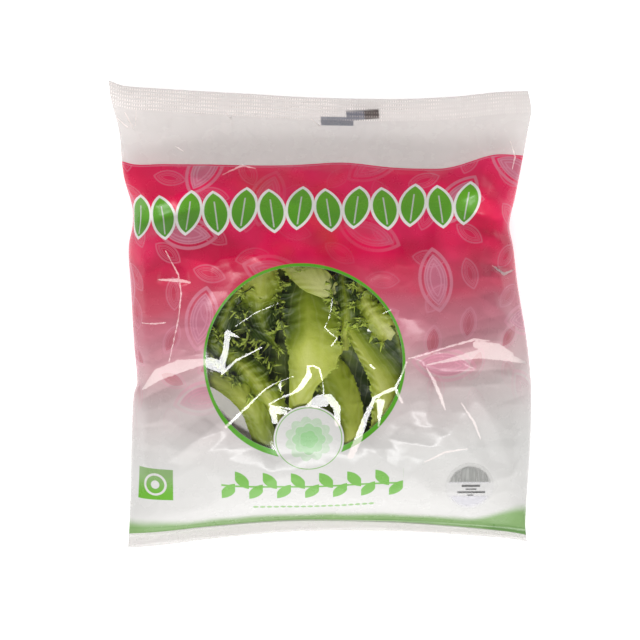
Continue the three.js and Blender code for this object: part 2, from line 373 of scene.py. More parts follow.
def puckers(across, along):
    """Gathers at the ends and sides: each is a ridge of height * exp(-off / width), which rises from
    nothing at the seal or edge and fades again over its length."""
    draw = np.random.default_rng(PUCKER_SEED)
    total = np.zeros(across.shape)
    for end, sign in ((BOTTOM_SEAL, 1), (TOP_SEAL, -1)):
        inward = (along - end) * sign
        for at in np.linspace(-0.94, 0.94, END_PUCKERS) + draw.uniform(-0.03, 0.03, END_PUCKERS):
            height, width, reach, lean = draw.uniform((-1.3, 2.0, 14, -0.25), (1.3, 5.0, 38, 0.25))
            off = np.abs((across - at) * 120 - lean * inward)
            rise = ramp(inward / 5) * np.exp(-np.clip(inward, 0, None) / reach)
            total += height * rise * np.exp(-off / width)
    for sign in (-1, 1):
        inward = (1 - across * sign) * 120
        for at in np.linspace(-112, 108, SIDE_PUCKERS) + draw.uniform(-6, 6, SIDE_PUCKERS):
            height, width, reach, lean = draw.uniform((-1.6, 2.5, 8, -0.5), (1.6, 7.0, 26, 0.5))
            off = np.abs(along - at - lean * inward)
            rise = ramp(inward / 7) * np.exp(-inward / reach)
            total += height * rise * np.exp(-off / width)
    return total


def front_body(across, along):
    """Height of the front without its folds: the middle, half the seal and the swell times the crown."""
    return middle_height(across, along) + SEAL_THICKNESS / 2 + front_swell(along) * crown(across, FRONT_CROWN)


def front_height(across, along):
    """Height of the front film: its body, and the relief where it is clear of the seals and sides."""
    x, y = plan(across, along)
    clear = ramp((1 - np.abs(across)) / SIDE_FADE)
    clear = clear * ramp((TOP_SEAL - along) / END_FADE) * ramp((along - BOTTOM_SEAL) / END_FADE)
    off = np.hypot(x - TIGHT["x"], y - TIGHT["y"])
    calm = 1 - TIGHT["share"] * ramp((TIGHT["radius"] - off) / TIGHT["fade"])
    relief = sum(lump(x, y, *one) for one in LUMPS) + calm * sum(fold(x, y, *one) for one in FOLDS)
    fine = sum(crease(x, y, *one) for one in CREASES) + sum(lump(x, y, *one) for one in FINE_LUMPS)
    fine = fine + calm * sum(high * crumple(x, y, spacing, seed) for spacing, high, seed in CRUMPLES)
    return front_body(across, along) + clear * (relief + fine) + puckers(across, along)


def back_height(across, along):
    """Height of the back film, which the table presses flat at TABLE_GAP."""
    body = middle_height(across, along) - SEAL_THICKNESS / 2 - back_swell(along) * crown(across, BACK_CROWN)
    return np.maximum(body, TABLE_GAP)


TABLE_GAP = 0.3  # keeps the film clear of the table
FRONT_GRID = (289, 249)  # rows along and columns across; the back takes every second of each
FINE_ALONG, FINE_ACROSS = (-0.66, 0.26), (-0.62, 0.42)  # the window, where both are twice as dense


def film_places(count, low, high):
    """count places from -1 to 1. Their density is 1, and 1 more between low and high, and u^6 more
    towards the ends. Each lies where the running sum of the density has grown by the same amount."""
    even = np.linspace(-1, 1, 4001)
    total = np.cumsum(1 + ((even > low) & (even < high)) + even**6)
    return np.interp(np.linspace(total[0], total[-1], count), total, even)


rows, columns = film_places(FRONT_GRID[0], *FINE_ALONG), film_places(FRONT_GRID[1], *FINE_ACROSS)
ALONG, ACROSS = np.meshgrid(HALF_LENGTH * rows, columns, indexing="ij")
FRONT = np.stack([*plan(ACROSS, ALONG), front_height(ACROSS, ALONG)], axis=-1)
BACK = np.stack([*plan(ACROSS, ALONG), back_height(ACROSS, ALONG)], axis=-1)[::2, ::2]
SEAL_RIBS = 0.06
RIB_PITCH = 3.0
ribbed = ramp((ALONG - TOP_SEAL) / 2) + ramp((BOTTOM_SEAL - ALONG) / 2)
RIBS = SEAL_RIBS * ribbed * np.cos(2 * np.pi * ALONG / RIB_PITCH)
FRONT[..., 2] += RIBS
BACK[..., 2] += RIBS[::2, ::2]
print("front points:", FRONT.shape, "highest:", round(FRONT[..., 2].max(), 1), "mm")

# %% [markdown]
# The print is laid on the film while it is flat, so a pattern has to follow the film and not the
# space around it. A UV map does that: each point of the film remembers where it lay on the flat sheet.
# The distance along the surface from the middle gives that place, and every column is scaled to the
# same length, because all of the film between the two cut edges was once equally long. It is measured
# on the bag without its folds, so that a small fold doesn't shift the print beside it.

# %% The flat film
FILM_LENGTH = 318


def flat_film(points):
    """Where each point of a grid of film lies on the flat sheet. Across: the running length of its row
    from where it crosses x = 0. Along: the running length of its column, as a share of FILM_LENGTH."""
    row_steps = np.linalg.norm(np.diff(points, axis=1), axis=-1)
    column_steps = np.linalg.norm(np.diff(points, axis=0), axis=-1)
    flat_x = np.pad(np.cumsum(row_steps, axis=1), ((0, 0), (1, 0)))
    flat_y = np.pad(np.cumsum(column_steps, axis=0), ((1, 0), (0, 0)))
    at_zero = [np.interp(0, row, run) for row, run in zip(points[..., 0], flat_x)]
    flat_x = flat_x - np.reshape(at_zero, (-1, 1))
    return np.stack([flat_x, (flat_y / flat_y[-1:] - 0.5) * FILM_LENGTH], axis=-1)


FRONT_FLAT = flat_film(np.stack([*plan(ACROSS, ALONG), front_body(ACROSS, ALONG)], axis=-1))
BACK_FLAT = flat_film(BACK)


def on_film(x, y):
    """The place on the flat film of a point seen from above: that of the nearest point of the grid, and
    the step that is left from there."""
    gap = np.hypot(FRONT[..., 0] - x, FRONT[..., 1] - y)
    near = np.unravel_index(gap.argmin(), gap.shape)
    return FRONT_FLAT[near] + (x, y) - FRONT[near][:2]


print("flat film, middle row:", FRONT_FLAT[FRONT_GRID[0] // 2, [0, -1], 0].round())

# %% [markdown]
# Front and back meet round the rim of the bag. The back is coarser, so each of its edges faces two of
# the front's, and a five-sided face joins them. The result is one closed skin with no doubled points.

# %% From grids to meshes


def grid_faces(index):
    """The four corners of every cell of a grid of point numbers, counter-clockwise from above."""
    return np.stack([index[:-1, :-1], index[:-1, 1:], index[1:, 1:], index[1:, :-1]], axis=-1).reshape(-1, 4)


def rim_of(index):
    """Point numbers round the edge of a grid, counter-clockwise from above, the first one repeated."""
    around = [index[0, :-1], index[:-1, -1], index[-1, :0:-1], index[:0:-1, 0]]
    ring = np.concatenate(around)
    return np.append(ring, ring[0])


def mesh_object(name, points, faces, uv=None, smooth=True):
    """A mesh object from points in millimetres and lists of point numbers. Each point's uv, in
    millimetres too, is stored in metres on the corners that meet in it."""
    data = bpy.data.meshes.new(name)
    data.from_pydata((np.asarray(points) * MM).tolist(), [], [list(map(int, face)) for face in faces])
    if uv is not None:
        corners = np.zeros(len(data.loops), dtype=np.int32)
        data.loops.foreach_get("vertex_index", corners)
        layer = data.uv_layers.new(name="flat")
        layer.data.foreach_set("uv", (np.asarray(uv) * MM)[corners].astype(np.float32).ravel())
    data.polygons.foreach_set("use_smooth", np.full(len(data.polygons), smooth))
    data.update()
    piece = bpy.data.objects.new(name, data)
    scene.collection.objects.link(piece)
    return piece


front_index = np.arange(FRONT[..., 0].size).reshape(FRONT_GRID)
back_index = front_index.size + np.arange(BACK[..., 0].size).reshape(BACK.shape[:2])
front_rim, back_rim = rim_of(front_index), rim_of(back_index)
front_faces = grid_faces(front_index)
back_faces = grid_faces(back_index)[:, ::-1]
front_halves = [front_rim[2::2], front_rim[1::2], front_rim[:-2:2]]
rim_faces = np.stack([back_rim[:-1], back_rim[1:], *front_halves], axis=-1)
film = mesh_object(
    "film",
    np.concatenate([FRONT.reshape(-1, 3), BACK.reshape(-1, 3)]),
    [*front_faces, *rim_faces, *back_faces],
    np.concatenate([FRONT_FLAT.reshape(-1, 2), BACK_FLAT.reshape(-1, 2)]),
)
BACK_SLOT = 1
is_back = np.zeros(len(film.data.polygons), dtype=np.int32)
is_back[len(front_faces) + len(rim_faces):] = BACK_SLOT
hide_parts("bag")
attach(film, "root")
print("film faces:", len(film.data.polygons))

# %% [markdown]
# Materials are written as sums. A `Value` wraps one output of a node, and arithmetic on it adds Math
# nodes, so a mask reads like its formula. Any other node comes from `Paint.take`, which sets the
# node up, fills its sockets and hands back one output.

# %% Shader maths


def srgb(red, green, blue):
    """A linear colour from the numbers 0 to 255 that a screen shows."""
    shares = np.array([red, green, blue]) / 255
    linear = np.where(shares <= 0.04045, shares / 12.92, ((shares + 0.055) / 1.055) ** 2.4)
    return (*linear.tolist(), 1.0)


class Value:
    """One output of a node. Arithmetic with numbers and other values adds Math nodes."""

    def __init__(self, paint, socket):
        self.paint, self.socket = paint, socket

    def __add__(self, other):
        return self.paint.maths("ADD", self, other)

    def __sub__(self, other):
        return self.paint.maths("SUBTRACT", self, other)

    def __rsub__(self, other):
        return self.paint.maths("SUBTRACT", other, self)

    def __mul__(self, other):
        return self.paint.maths("MULTIPLY", self, other)

    def __truediv__(self, other):
        return self.paint.maths("DIVIDE", self, other)

    def __pow__(self, other):
        return self.paint.maths("POWER", self, other)

    def __abs__(self):
        return self.paint.maths("ABSOLUTE", self)

    __radd__, __rmul__ = __add__, __mul__


class Paint:
    """A new material and the nodes in it."""

    def __init__(self, name):
        self.material = bpy.data.materials.new(name)
        self.material.use_nodes = True
        self.tree = self.material.node_tree
        self.tree.nodes.clear()

    def take(self, kind, output, settings=None, sockets=None):
        """Adds a node, sets what settings names, puts values or links into its sockets, and returns
        one of its outputs. A ramp's stops are (position, colour) pairs."""
        node = self.tree.nodes.new(kind)
        for name, value in (settings or {}).items():
            if name == "stops":
                stops = node.color_ramp.elements
                while len(stops) < len(value):
                    stops.new(1)
                for stop, (position, colour) in zip(stops, value):
                    stop.position, stop.color = position, colour
            else:
                setattr(node, name, value)
        for name, value in (sockets or {}).items():
            if isinstance(value, Value):
                self.tree.links.new(value.socket, node.inputs[name])
            else:
                node.inputs[name].default_value = value
        return Value(self, node.outputs[output])

    def maths(self, operation, *values):
        return self.take("ShaderNodeMath", 0, {"operation": operation}, dict(enumerate(values)))

    def least(self, a, b):
        return self.maths("MINIMUM", a, b)

    def most(self, a, b):
        return self.maths("MAXIMUM", a, b)

    def far(self, x, y):
        """Distance from the origin: (x*x + y*y)^0.5."""
        return (x * x + y * y) ** 0.5

    def inside(self, distance, soft=0.25):
        """1 where distance is below 0 and 0 where it is above, with an edge 2 * soft wide."""
        sockets = {"Value": distance, "From Min": -soft, "From Max": soft, "To Min": 1.0, "To Max": 0.0}
        return self.take("ShaderNodeMapRange", 0, {"interpolation_type": "SMOOTHSTEP"}, sockets)

    def between(self, value, low, high):
        """0 at low, 1 at high, and smooth between."""
        sockets = {"Value": value, "From Min": low, "From Max": high}
        return self.take("ShaderNodeMapRange", 0, {"interpolation_type": "SMOOTHSTEP"}, sockets)

    def blend(self, share, first, second):
        """The colour first where share is 0 and second where it is 1."""
        return self.take("ShaderNodeMix", 2, {"data_type": "RGBA"}, {0: share, 6: first, 7: second})

    def noise(self, where, scale, detail=2.0, roughness=0.5, distortion=0.0):
        sockets = {"Vector": where, "Scale": scale, "Detail": detail, "Roughness": roughness}
        return self.take("ShaderNodeTexNoise", "Fac", None, {**sockets, "Distortion": distortion})

    def bump(self, height, distance, strength=1.0, onto=None):
        """Normal of a surface whose height, in metres, is height * distance, over the normal onto."""
        sockets = {"Height": height, "Distance": distance, "Strength": strength}
        if onto is not None:
            sockets["Normal"] = onto
        return self.take("ShaderNodeBump", "Normal", None, sockets)

    def vector(self, operation, *values, output="Vector"):
        return self.take("ShaderNodeVectorMath", output, {"operation": operation}, dict(enumerate(values)))

    def surface(self, shader):
        output = self.tree.nodes.new("ShaderNodeOutputMaterial")
        self.tree.links.new(shader.socket, output.inputs["Surface"])
        return self.material


print("red ink, linear:", [round(c, 3) for c in srgb(190, 36, 72)])


# %% [markdown]
# The print. A pack's design is drawn with fields of colour and plain shapes, each of them a distance
# that is negative inside the shape. The design is a generic one: a red field with a wavy top that
# fades out downwards, a row of leaf shapes with white outlines, pale leaf outlines behind them, a
# round window with a green rim, a white disc with a rosette and a small vine. Nothing on it is
# lettering. The places are where the real pack has its own fields, read from above and carried to the
# flat film.

# %% Print colours and places
RED = srgb(240, 8, 76)
RED_SHADE = srgb(176, 2, 52)
RED_LIGHT = srgb(244, 34, 98)
MAUVE = srgb(204, 128, 152)
SHOWN_THROUGH = srgb(206, 84, 44)
PALE_RED = srgb(232, 160, 182)
WHITE = srgb(220, 219, 217)
MILKY = srgb(228, 220, 217)
# painted shade: a darker copy of the milky film, used towards the bottom seal
MILKY_PAINTED_SHADE = srgb(188, 184, 182)
CLEAR_BACK = srgb(214, 208, 184)
GREEN = srgb(106, 178, 44)
DEEP_GREEN = srgb(86, 160, 40)
SOFT_GREEN = srgb(122, 184, 84)
RING_GREEN = srgb(92, 170, 42)
ROSETTE_GREEN = srgb(150, 204, 140)
BAND_GREEN = srgb(136, 172, 110)
BAND_DARK = srgb(104, 148, 78)
CRIMP_WHITE = srgb(250, 247, 244)
MARK_GREY = srgb(112, 118, 136)
MARK_BROWN = srgb(44, 28, 24)
# painted highlight: the colour that the facets whiten the print towards
FACET_PAINTED_HIGHLIGHT = srgb(255, 232, 226)


def oval_of(x, y, half_width, half_height):
    """An oval seen from above, as middle x, middle y, half width and half height on the flat film."""
    left, right = on_film(x - half_width, y), on_film(x + half_width, y)
    low, high = on_film(x, y - half_height), on_film(x, y + half_height)
    sizes = (left[0] + right[0], low[1] + high[1], right[0] - left[0], high[1] - low[1])
    return [float(size) / 2 for size in sizes]


WINDOW, RIM = oval_of(-9.9, -27.8, 59.9, 57.0), oval_of(-9.8, -28.6, 61.6, 59.7)
DISC_CENTRE, DISC_RADIUS = on_film(-7, -76), 21.5
ROW_LEFT, ROW_RIGHT = on_film(-111, 60), on_film(90, 68)
VINE_LEFT, VINE_RIGHT = on_film(-61, -107), on_film(51, -105)
DASHES_MIDDLE = on_film(-4, -119)
SQUARE_CENTRE = on_film(-102, -105)
WAVE_HEIGHT = on_film(-60, 93)[1]
LEAF_BEHIND = oval_of(-14, 62, 40, 30)  # where a leaf under the red shows through it
# How much red there is at heights seen from above
FADE = ((-92, 0.0), (-78, 0.03), (-53, 0.13), (-28, 0.38), (-9, 0.71), (9, 0.93), (36, 1.0))
SEAL_LINE, SEAL_SLOPE = -FILM_LENGTH / 2 + 7.3, -2.5 / 120
MARK_CENTRE, BACK_MARK_CENTRE = on_film(10.5, 120.5), on_film(26.5, 124.5)
print("row from", ROW_LEFT.round(), "to", ROW_RIGHT.round(), "window", np.round(WINDOW, 1))

# %% Shapes as distances


def disc(paint, x, y, centre, radius):
    """Distance outside a disc."""
    return paint.far(x - float(centre[0]), y - float(centre[1])) - radius


def oval(paint, x, y, middle_x, middle_y, half_width, half_height):
    """Distance outside an oval, right at its sides: w * (((x - mx)/w)^2 + ((y - my)/h)^2)^0.5 - w."""
    return paint.far((x - middle_x) / half_width, (y - middle_y) / half_height) * half_width - half_width


def leaf_shape(paint, x, y, half_width, half_length):
    """Distance outside a pointed leaf that stands upright at the origin: where two discs overlap. Their
    radius is (w*w + h*h) / 2w, and their centres lie radius - w to either side."""
    radius = (half_width**2 + half_length**2) / (2 * half_width)
    return paint.far(abs(x) + (radius - half_width), y) - radius


def turned(paint, x, y, angle):
    """x and y as seen from a frame turned by angle, which is a number or a value."""
    if isinstance(angle, Value):
        cosine, sine = paint.maths("COSINE", angle), paint.maths("SINE", angle)
    else:
        cosine, sine = math.cos(angle), math.sin(angle)
    return x * cosine + y * sine, y * cosine - x * sine


def box_shape(paint, x, y, half_width, half_height, round_by=0.0):
    """Distance outside an upright rectangle, good near its sides: max(|x| - w, |y| - h)."""
    return paint.most(abs(x) - (half_width - round_by), abs(y) - (half_height - round_by)) - round_by


# %% [markdown]
# The row of leaf shapes repeats one leaf: the remainder of x after division by the pitch gives each
# cell its own middle, and the number of the cell, odd or even, tips its leaf left or right.

# %% The row of leaves
ROW_LEAVES = 13
ROW_LEAF = {"half_width": 7.2, "half_length": 13.4}
ROW_TILT = 0.13
OUTLINE = 1.7


def leaf_row(paint, x, y):
    """Distances outside the row's leaves, and outside the white ribs along their middles."""
    run = ROW_RIGHT - ROW_LEFT
    pitch = float(run[0]) / (ROW_LEAVES - 1)
    rise = float(run[1] / run[0])
    step = (x - float(ROW_LEFT[0])) / pitch + 0.5
    number = paint.least(paint.most(paint.maths("FLOOR", step), 0.0), ROW_LEAVES - 1.0)
    local_x = (step - number - 0.5) * pitch
    local_y = y - float(ROW_LEFT[1]) - (x - float(ROW_LEFT[0])) * rise
    odd = paint.maths("MODULO", number, 2.0) * 2 - 1
    local_x, local_y = local_x + odd * local_y * ROW_TILT, local_y + odd * 0.8
    leaf = leaf_shape(paint, local_x, local_y, **ROW_LEAF)
    rib = paint.most(abs(local_x) - 0.45, abs(local_y + 2) - 9.5)
    return leaf, rib


# %% [markdown]
# Behind the row lie pale outlines of leaves in two sizes. A lattice of square cells holds one in each,
# and a white-noise draw for each cell turns it and moves it, so that no two look alike.

# %% Scattered outlines


def scattered_leaves(paint, x, y, cell, seed):
    """Masks of the outlines and the bodies of leaves, one in each square cell, turned and moved by
    a draw for the cell. Three fine lines follow the outline inside it."""
    column = paint.maths("FLOOR", x / cell + seed)
    shifted = y / cell + paint.maths("MODULO", column + 100, 2.0) * 0.5 + seed
    row = paint.maths("FLOOR", shifted)
    where = paint.take("ShaderNodeCombineXYZ", 0, None, {0: column, 1: row, 2: float(seed)})
    draw = paint.take("ShaderNodeTexWhiteNoise", "Value", {"noise_dimensions": "3D"}, {"Vector": where})
    other = paint.maths("FRACT", draw * 17.3)
    local_x = (x / cell + seed - column - 0.5 + (other - 0.5) * 0.3) * cell
    local_y = (shifted - row - 0.5 + (draw - 0.5) * 0.2) * cell
    local_x, local_y = turned(paint, local_x, local_y, draw * math.tau)
    leaf = leaf_shape(paint, local_x, local_y, cell * 0.19, cell * 0.38)
    outline = abs(leaf) - cell * 0.02
    for inner in (0.055, 0.085, 0.125):
        outline = paint.least(outline, abs(leaf + cell * inner) - cell * 0.008)
    return paint.inside(outline, 0.3), paint.inside(leaf + cell * 0.055, 0.3)


# %% [markdown]
# The rest of the design is built the same way: the vine below the disc, the rosette in it, the small
# framed square at the lower left, and the wavy top of the red field.

# %% The smaller motifs
VINE_PITCH, VINE_SAG = 8.6, 3.0
VINE_LEAF = {"half_width": 3.7, "half_length": 8.0}
DASH_PITCH = 4.2


def vine(paint, x, y):
    """Distance outside a vine that sags like a shallow bowl: leaves on alternate sides of a stem."""
    middle = (VINE_LEFT + VINE_RIGHT) / 2
    half_span = VINE_PITCH * (math.floor(float(VINE_RIGHT[0] - VINE_LEFT[0]) / VINE_PITCH / 2) + 0.5)
    along = x - float(middle[0])
    bowl = (along / half_span) * (along / half_span)
    height = y - float(middle[1]) - bowl * VINE_SAG
    step = along / VINE_PITCH + 100.5
    number = paint.maths("FLOOR", step)
    side = paint.maths("MODULO", number, 2.0) * 2 - 1
    local_x = (step - number - 0.5) * VINE_PITCH
    leaf_x, leaf_y = turned(paint, local_x, height * side - 4.6, 0.62)
    leaves = leaf_shape(paint, leaf_x, leaf_y, **VINE_LEAF)
    stem = abs(height) - 0.7
    return paint.most(paint.least(leaves, stem), abs(along) - half_span)


def rosette(paint, x, y):
    """How green each place of the rosette is: three rings of scalloped leaves, one inside the other.
    A ring of n leaves ends at r = R * (0.84 + 0.16 * |cos(n * angle / 2)|)."""
    dx, dy = x - float(DISC_CENTRE[0]), y - float(DISC_CENTRE[1])
    radius, angle = paint.far(dx, dy), paint.maths("ARCTAN2", dy, dx)
    tone = None
    for reach, leaves, weight in ((15.0, 11, 0.45), (10.5, 8, 0.35), (6.0, 5, 0.2)):
        scallop = abs(paint.maths("COSINE", angle * (leaves / 2))) * 0.16 + 0.84
        ring = paint.inside(radius - scallop * reach, 0.4) * weight
        gap = paint.inside(abs(radius - scallop * reach) - 0.35, 0.25) * (weight * 0.9)
        ring = ring - gap
        tone = ring if tone is None else tone + ring
    return tone


def wave_line(paint, x, y):
    """Height above the wavy top of the red field: level on the left, one swell near the middle and a
    step up at the right."""
    swell = paint.maths("EXPONENT", (((x - 16) / 22) * ((x - 16) / 22)) * -1)
    step = paint.between(x, 72.0, 112.0)
    ripple = paint.maths("SINE", x / 19 + 1.2)
    return y - float(WAVE_HEIGHT) - swell * 3.6 - step * 8.5 - ripple * 0.8


# %% [markdown]
# Film that is caught between two folds is pulled flat, and such a facet mirrors the lamp as one white
# patch with a sharp edge. A mesh fine enough for those edges would be far too heavy, so the facets are
# laid on the smooth film: inside each one the normal is the one that sends the lamp's light straight
# up. The print's colour is also whitened inside them, a painted highlight on top of that reflection.
# Each facet is a streak with its own width at either end, and a chain of streaks follows a crease.

# %% Facets of the film
FACET_NORMAL = (-0.031, -0.262, 0.965)  # half way between straight up and the softbox
FACET_TILT = -0.515  # how much further it tips towards the softbox for each metre up the bag
FACET_WOBBLE = 1.4  # how far the noise moves their edges
# Each chain of facets is a row of (x, y, half its width), seen from above
FACETS = (
    ((-57.5, -68.5, 0.9), (-33.4, -45.3, 0.55), (-28, -41.9, 0.45), (-16, -37.5, 0.25)),
    ((-67, -29.5, 3.3), (-61.5, -31.5, 3.7), (-60.8, -32.8, 2.4), (-57.6, -22, 1.9), (-56.4, -11.5, 1.9)),
    ((-56.4, -11, 1.7), (-49, -14, 0.3)),
    ((-59.5, -35.6, 1.0), (-51.4, -28.1, 0.8), (-35.8, -20, 0.5)),
    ((-31.1, -54.4, 0.35), (-23.3, -50.3, 0.5), (-16.2, -47.7, 0.9), (-11.6, -43.8, 1.6), (-6.9, -36.7, 2.0)),
    ((-7, -36, 1.4), (-7.7, -31.5, 0.7), (-4, -31.2, 0.7), (-0.6, -33, 0.8)),
    ((-0.6, -33, 0.8), (1.4, -40.6, 0.4), (2, -48.4, 0.35)),
    ((-31.2, -55.1, 0.4), (-18, -57.6, 0.6)),
    ((-28.4, -57.8, 2.6), (-21.5, -59.4, 1.6)),
    ((-28.9, -58.8, 2.2), (-27.6, -65, 1.6)),
    ((-7.7, -55.5, 1.0), (-1.4, -50.9, 2.2), (5.4, -50.9, 2.7), (10.0, -56.2, 2.3), (10.6, -66.4, 1.7)),
    ((-3, -54.4, 2.6), (3, -53.6, 2.4)),
    ((-24, -46.5, 0.4), (-24.5, -43, 1.1), (-24, -41.5, 0.5)),
    ((18.6, -86, 2.0), (23.3, -75, 2.2), (27.5, -62.5, 1.8), (33, -50.8, 1.2)),
    ((33, -50.8, 1.2), (38.4, -47.7, 1.0), (45.5, -44.8, 1.3)),
    ((45.5, -44.8, 1.0), (49.4, -37, 0.6), (52.5, -28.9, 0.5)),
    ((45.5, -44.8, 1.2), (49.7, -53.4, 0.7)),
    ((35.2, -52.6, 1.7), (37.8, -53.2, 1.7)),
    ((36.6, -54, 2.3), (35.5, -67.5, 0.5)),
    ((7.2, 9.4, 0.25), (6.1, 0, 0.35), (2.8, -7.8, 0.45)),
    ((2.8, -7.8, 0.45), (5.6, -10.9, 0.45), (10.3, -14.4, 0.35), (6.7, -19, 0.5)),
    ((-24.8, 7, 0.2), (-38.9, 1.3, 0.45), (-51.4, -7, 0.3)),
    ((38, 0.5, 0.4), (42.7, 2.8, 0.5)),
    ((29.1, -9.4, 0.9), (30.4, -10, 0.6)),
    ((30.6, -30.8, 0.8), (32.6, -32.6, 0.5)),
    ((54, -26.7, 0.4), (78, -19.4, 0.6), (93.5, -15.2, 0.8), (103, -16, 0.4)),
    ((65, -30.6, 0.3), (84, -26.4, 1.6), (98, -23.6, 3.2), (114, -25.8, 2.8), (127, -30, 0.8)),
    ((95, -18.2, 2.4), (108, -20.6, 3.2), (117, -25.4, 2.6)),
    ((64.5, -32.2, 0.3), (69.3, -40.6, 1.0), (73.3, -50, 1.2), (76, -58, 0.4)),
    ((-99.4, 21.4, 0.4), (-86.7, 20.8, 1.2), (-79.5, 19.5, 0.4)),
    ((-94.6, 38.9, 0.3), (-86.7, 24.6, 0.5), (-85, 13.4, 0.4)),
    ((-85, 13.4, 0.4), (-86.7, -2.5, 0.4), (-89.8, -16.9, 0.35), (-92.6, -28.8, 0.3)),
    ((-70, -28.6, 1.8), (-86, -31.5, 4.2), (-100, -37, 3.8), (-110, -46, 0.8)),
    ((-110, -5, 0.3), (-102, -5.6, 0.45), (-95, -5, 0.3)),
    ((64, -90, 0.3), (76, -84, 0.8), (90, -82, 0.3)),
    ((86, -54, 0.3), (94, -66, 0.7), (98, -76, 0.3)),
    ((-60, 86, 0.3), (-48, 92, 0.8), (-40, 90, 0.3)),
    ((106, 30, 0.4), (113, 25, 1.2), (120, 28, 0.4)),
    ((-127.3, 123.4, 0.3), (-120.5, 117, 0.8)),
    ((-121.7, 125.7, 0.7), (-116.3, 116, 0.5)),
    ((-114.8, 129, 0.25), (-115.2, 118, 0.35)),
    ((-58.6, 125.7, 0.4), (-55.8, 122.5, 0.5), (-54.4, 125.7, 0.3)),
    ((-89.8, 104.4, 0.3), (-85, 101.4, 0.45)),
    ((-5.5, 122.5, 0.3), (-0.8, 118, 0.45)),
    ((118, 108, 0.3), (121, 98, 0.6), (119, 90, 0.3)),
)


def facets(paint, x, y):
    """1 inside the facets. For a streak from a to b, t = (p - a).(b - a) / |b - a|^2, kept from 0 to 1,
    is how far along p lies, and the distance outside is |p - a - t (b - a)| less the half width at t."""
    spot = paint.take("ShaderNodeCombineXYZ", 0, None, {0: x, 1: y})
    nearest = None
    for chain in FACETS:
        points = [(*map(float, on_film(px, py)), 0.0) for px, py, _ in chain]
        for start, end, (_, _, wide), (_, _, then) in zip(points, points[1:], chain, chain[1:]):
            run = tuple(np.subtract(end, start).tolist())
            offset = paint.vector("SUBTRACT", spot, start)
            share = paint.vector("DOT_PRODUCT", offset, run, output="Value") / float(np.dot(run, run))
            share = paint.maths("MAXIMUM", paint.maths("MINIMUM", share, 1.0), 0.0)
            scaled = {0: run, "Scale": share}
            on_line = paint.take("ShaderNodeVectorMath", "Vector", {"operation": "SCALE"}, scaled)
            gap = paint.vector("LENGTH", paint.vector("SUBTRACT", offset, on_line), output="Value")
            gap = gap - share * (then - wide) - wide
            nearest = gap if nearest is None else paint.least(nearest, gap)
    wobble = (paint.noise(spot, 0.35, 3.0) - 0.5) * FACET_WOBBLE
    return paint.inside(nearest + wobble, 0.35)


# %% [markdown]
# The film itself is clear. It hides what is behind it only where it is printed, is milky in the
# unprinted header, and in the window it shows nothing of its own but reflections. One Principled
# shader paints the ink. A Transparent shader is mixed in where the film lets light through, and the
# mask that drives the mix is the print. In the window the Principled shader turns into a faint mirror:
# thin film sends back a few hundredths of the light, more at a glancing angle, which a Fresnel node
# gives.

# %% The printed film
HEADER_OPACITY = 0.42
PRINT_OPACITY = 0.975
FACET_OPACITY = 0.85
# The next share is a painted highlight: how far the facets whiten the print's colour.
PAINTED_HIGHLIGHT_SHARE = 0.35  # how far a facet's shine whitens the print
MIRROR = 2.9  # two surfaces of film, and their haze
CRIMP_DEPTH, CRIMP_PITCH = 15.5, (1.5, 2.6)


def film_coordinates(paint):
    """x and y on the flat film, in millimetres, and the node's own vector."""
    where = paint.take("ShaderNodeUVMap", "UV", {"uv_map": "flat"})
    x = paint.take("ShaderNodeSeparateXYZ", "X", None, {0: where}) / MM
    y = paint.take("ShaderNodeSeparateXYZ", "Y", None, {0: where}) / MM
    return x, y, where


def red_field(paint, x, y, where):
    """How much red ink there is: full at the top and fading downwards, a little sooner at the right,
    and uneven where leaves press on it."""
    heights = [float(on_film(0, at)[1]) for at, _ in FADE]
    span = heights[-1] - heights[0]
    stops = [((at - heights[0]) / span, (ink, ink, ink, 1)) for at, (_, ink) in zip(heights, FADE)]
    height = y + paint.noise(where, 18.0, 2.0) * 16 - 8 - x * 0.08
    fade = paint.take("ShaderNodeValToRGB", "Color", {"stops": stops}, {0: (height - heights[0]) / span})
    return fade * paint.inside(wave_line(paint, x, y), 0.3)


def green_band(paint, x, y, where):
    """The pale green foot of the print, strongest at the seal line and in the right corner."""
    above = y - SEAL_LINE - x * SEAL_SLOPE
    corner = paint.between(x, 90.0, 126.0) * 12
    streaks = paint.noise(where, 40.0, 3.0) * 6 - 3
    band = paint.inside(above - 8.5 - corner + streaks, 4.5)
    return band * paint.inside(above * -1, 0.3)


def fold_lines(paint, x, y, where):
    """Thin darker lines along the foot: painted shade where the film is pleated into the seal. And a
    green corner.
    """
    above = y - SEAL_LINE - x * SEAL_SLOPE
    drift = paint.noise(paint.take("ShaderNodeCombineXYZ", 0, None, {0: x * 0.03}), 1.0, 2.0) * 3 - 1.5
    low = paint.inside(abs(above - 1.0) - 0.35, 0.3)
    high = paint.inside(abs(above - 4.6 + drift) - 0.3, 0.3)
    corner = paint.between(x, 100.0, 110.0) * paint.inside(above - 3.2, 2.0) * paint.inside(above * -1, 0.3)
    notch = paint.inside(box_shape(paint, x - 109, above - 2.2, 0.5, 2.0), 0.3)
    patches = paint.between(paint.noise(where, 35.0, 2.0), 0.3, 0.6)
    lines = paint.most(low, high) * patches * 0.7
    return paint.least(paint.most(lines, notch) + corner * 0.8, 1.0)


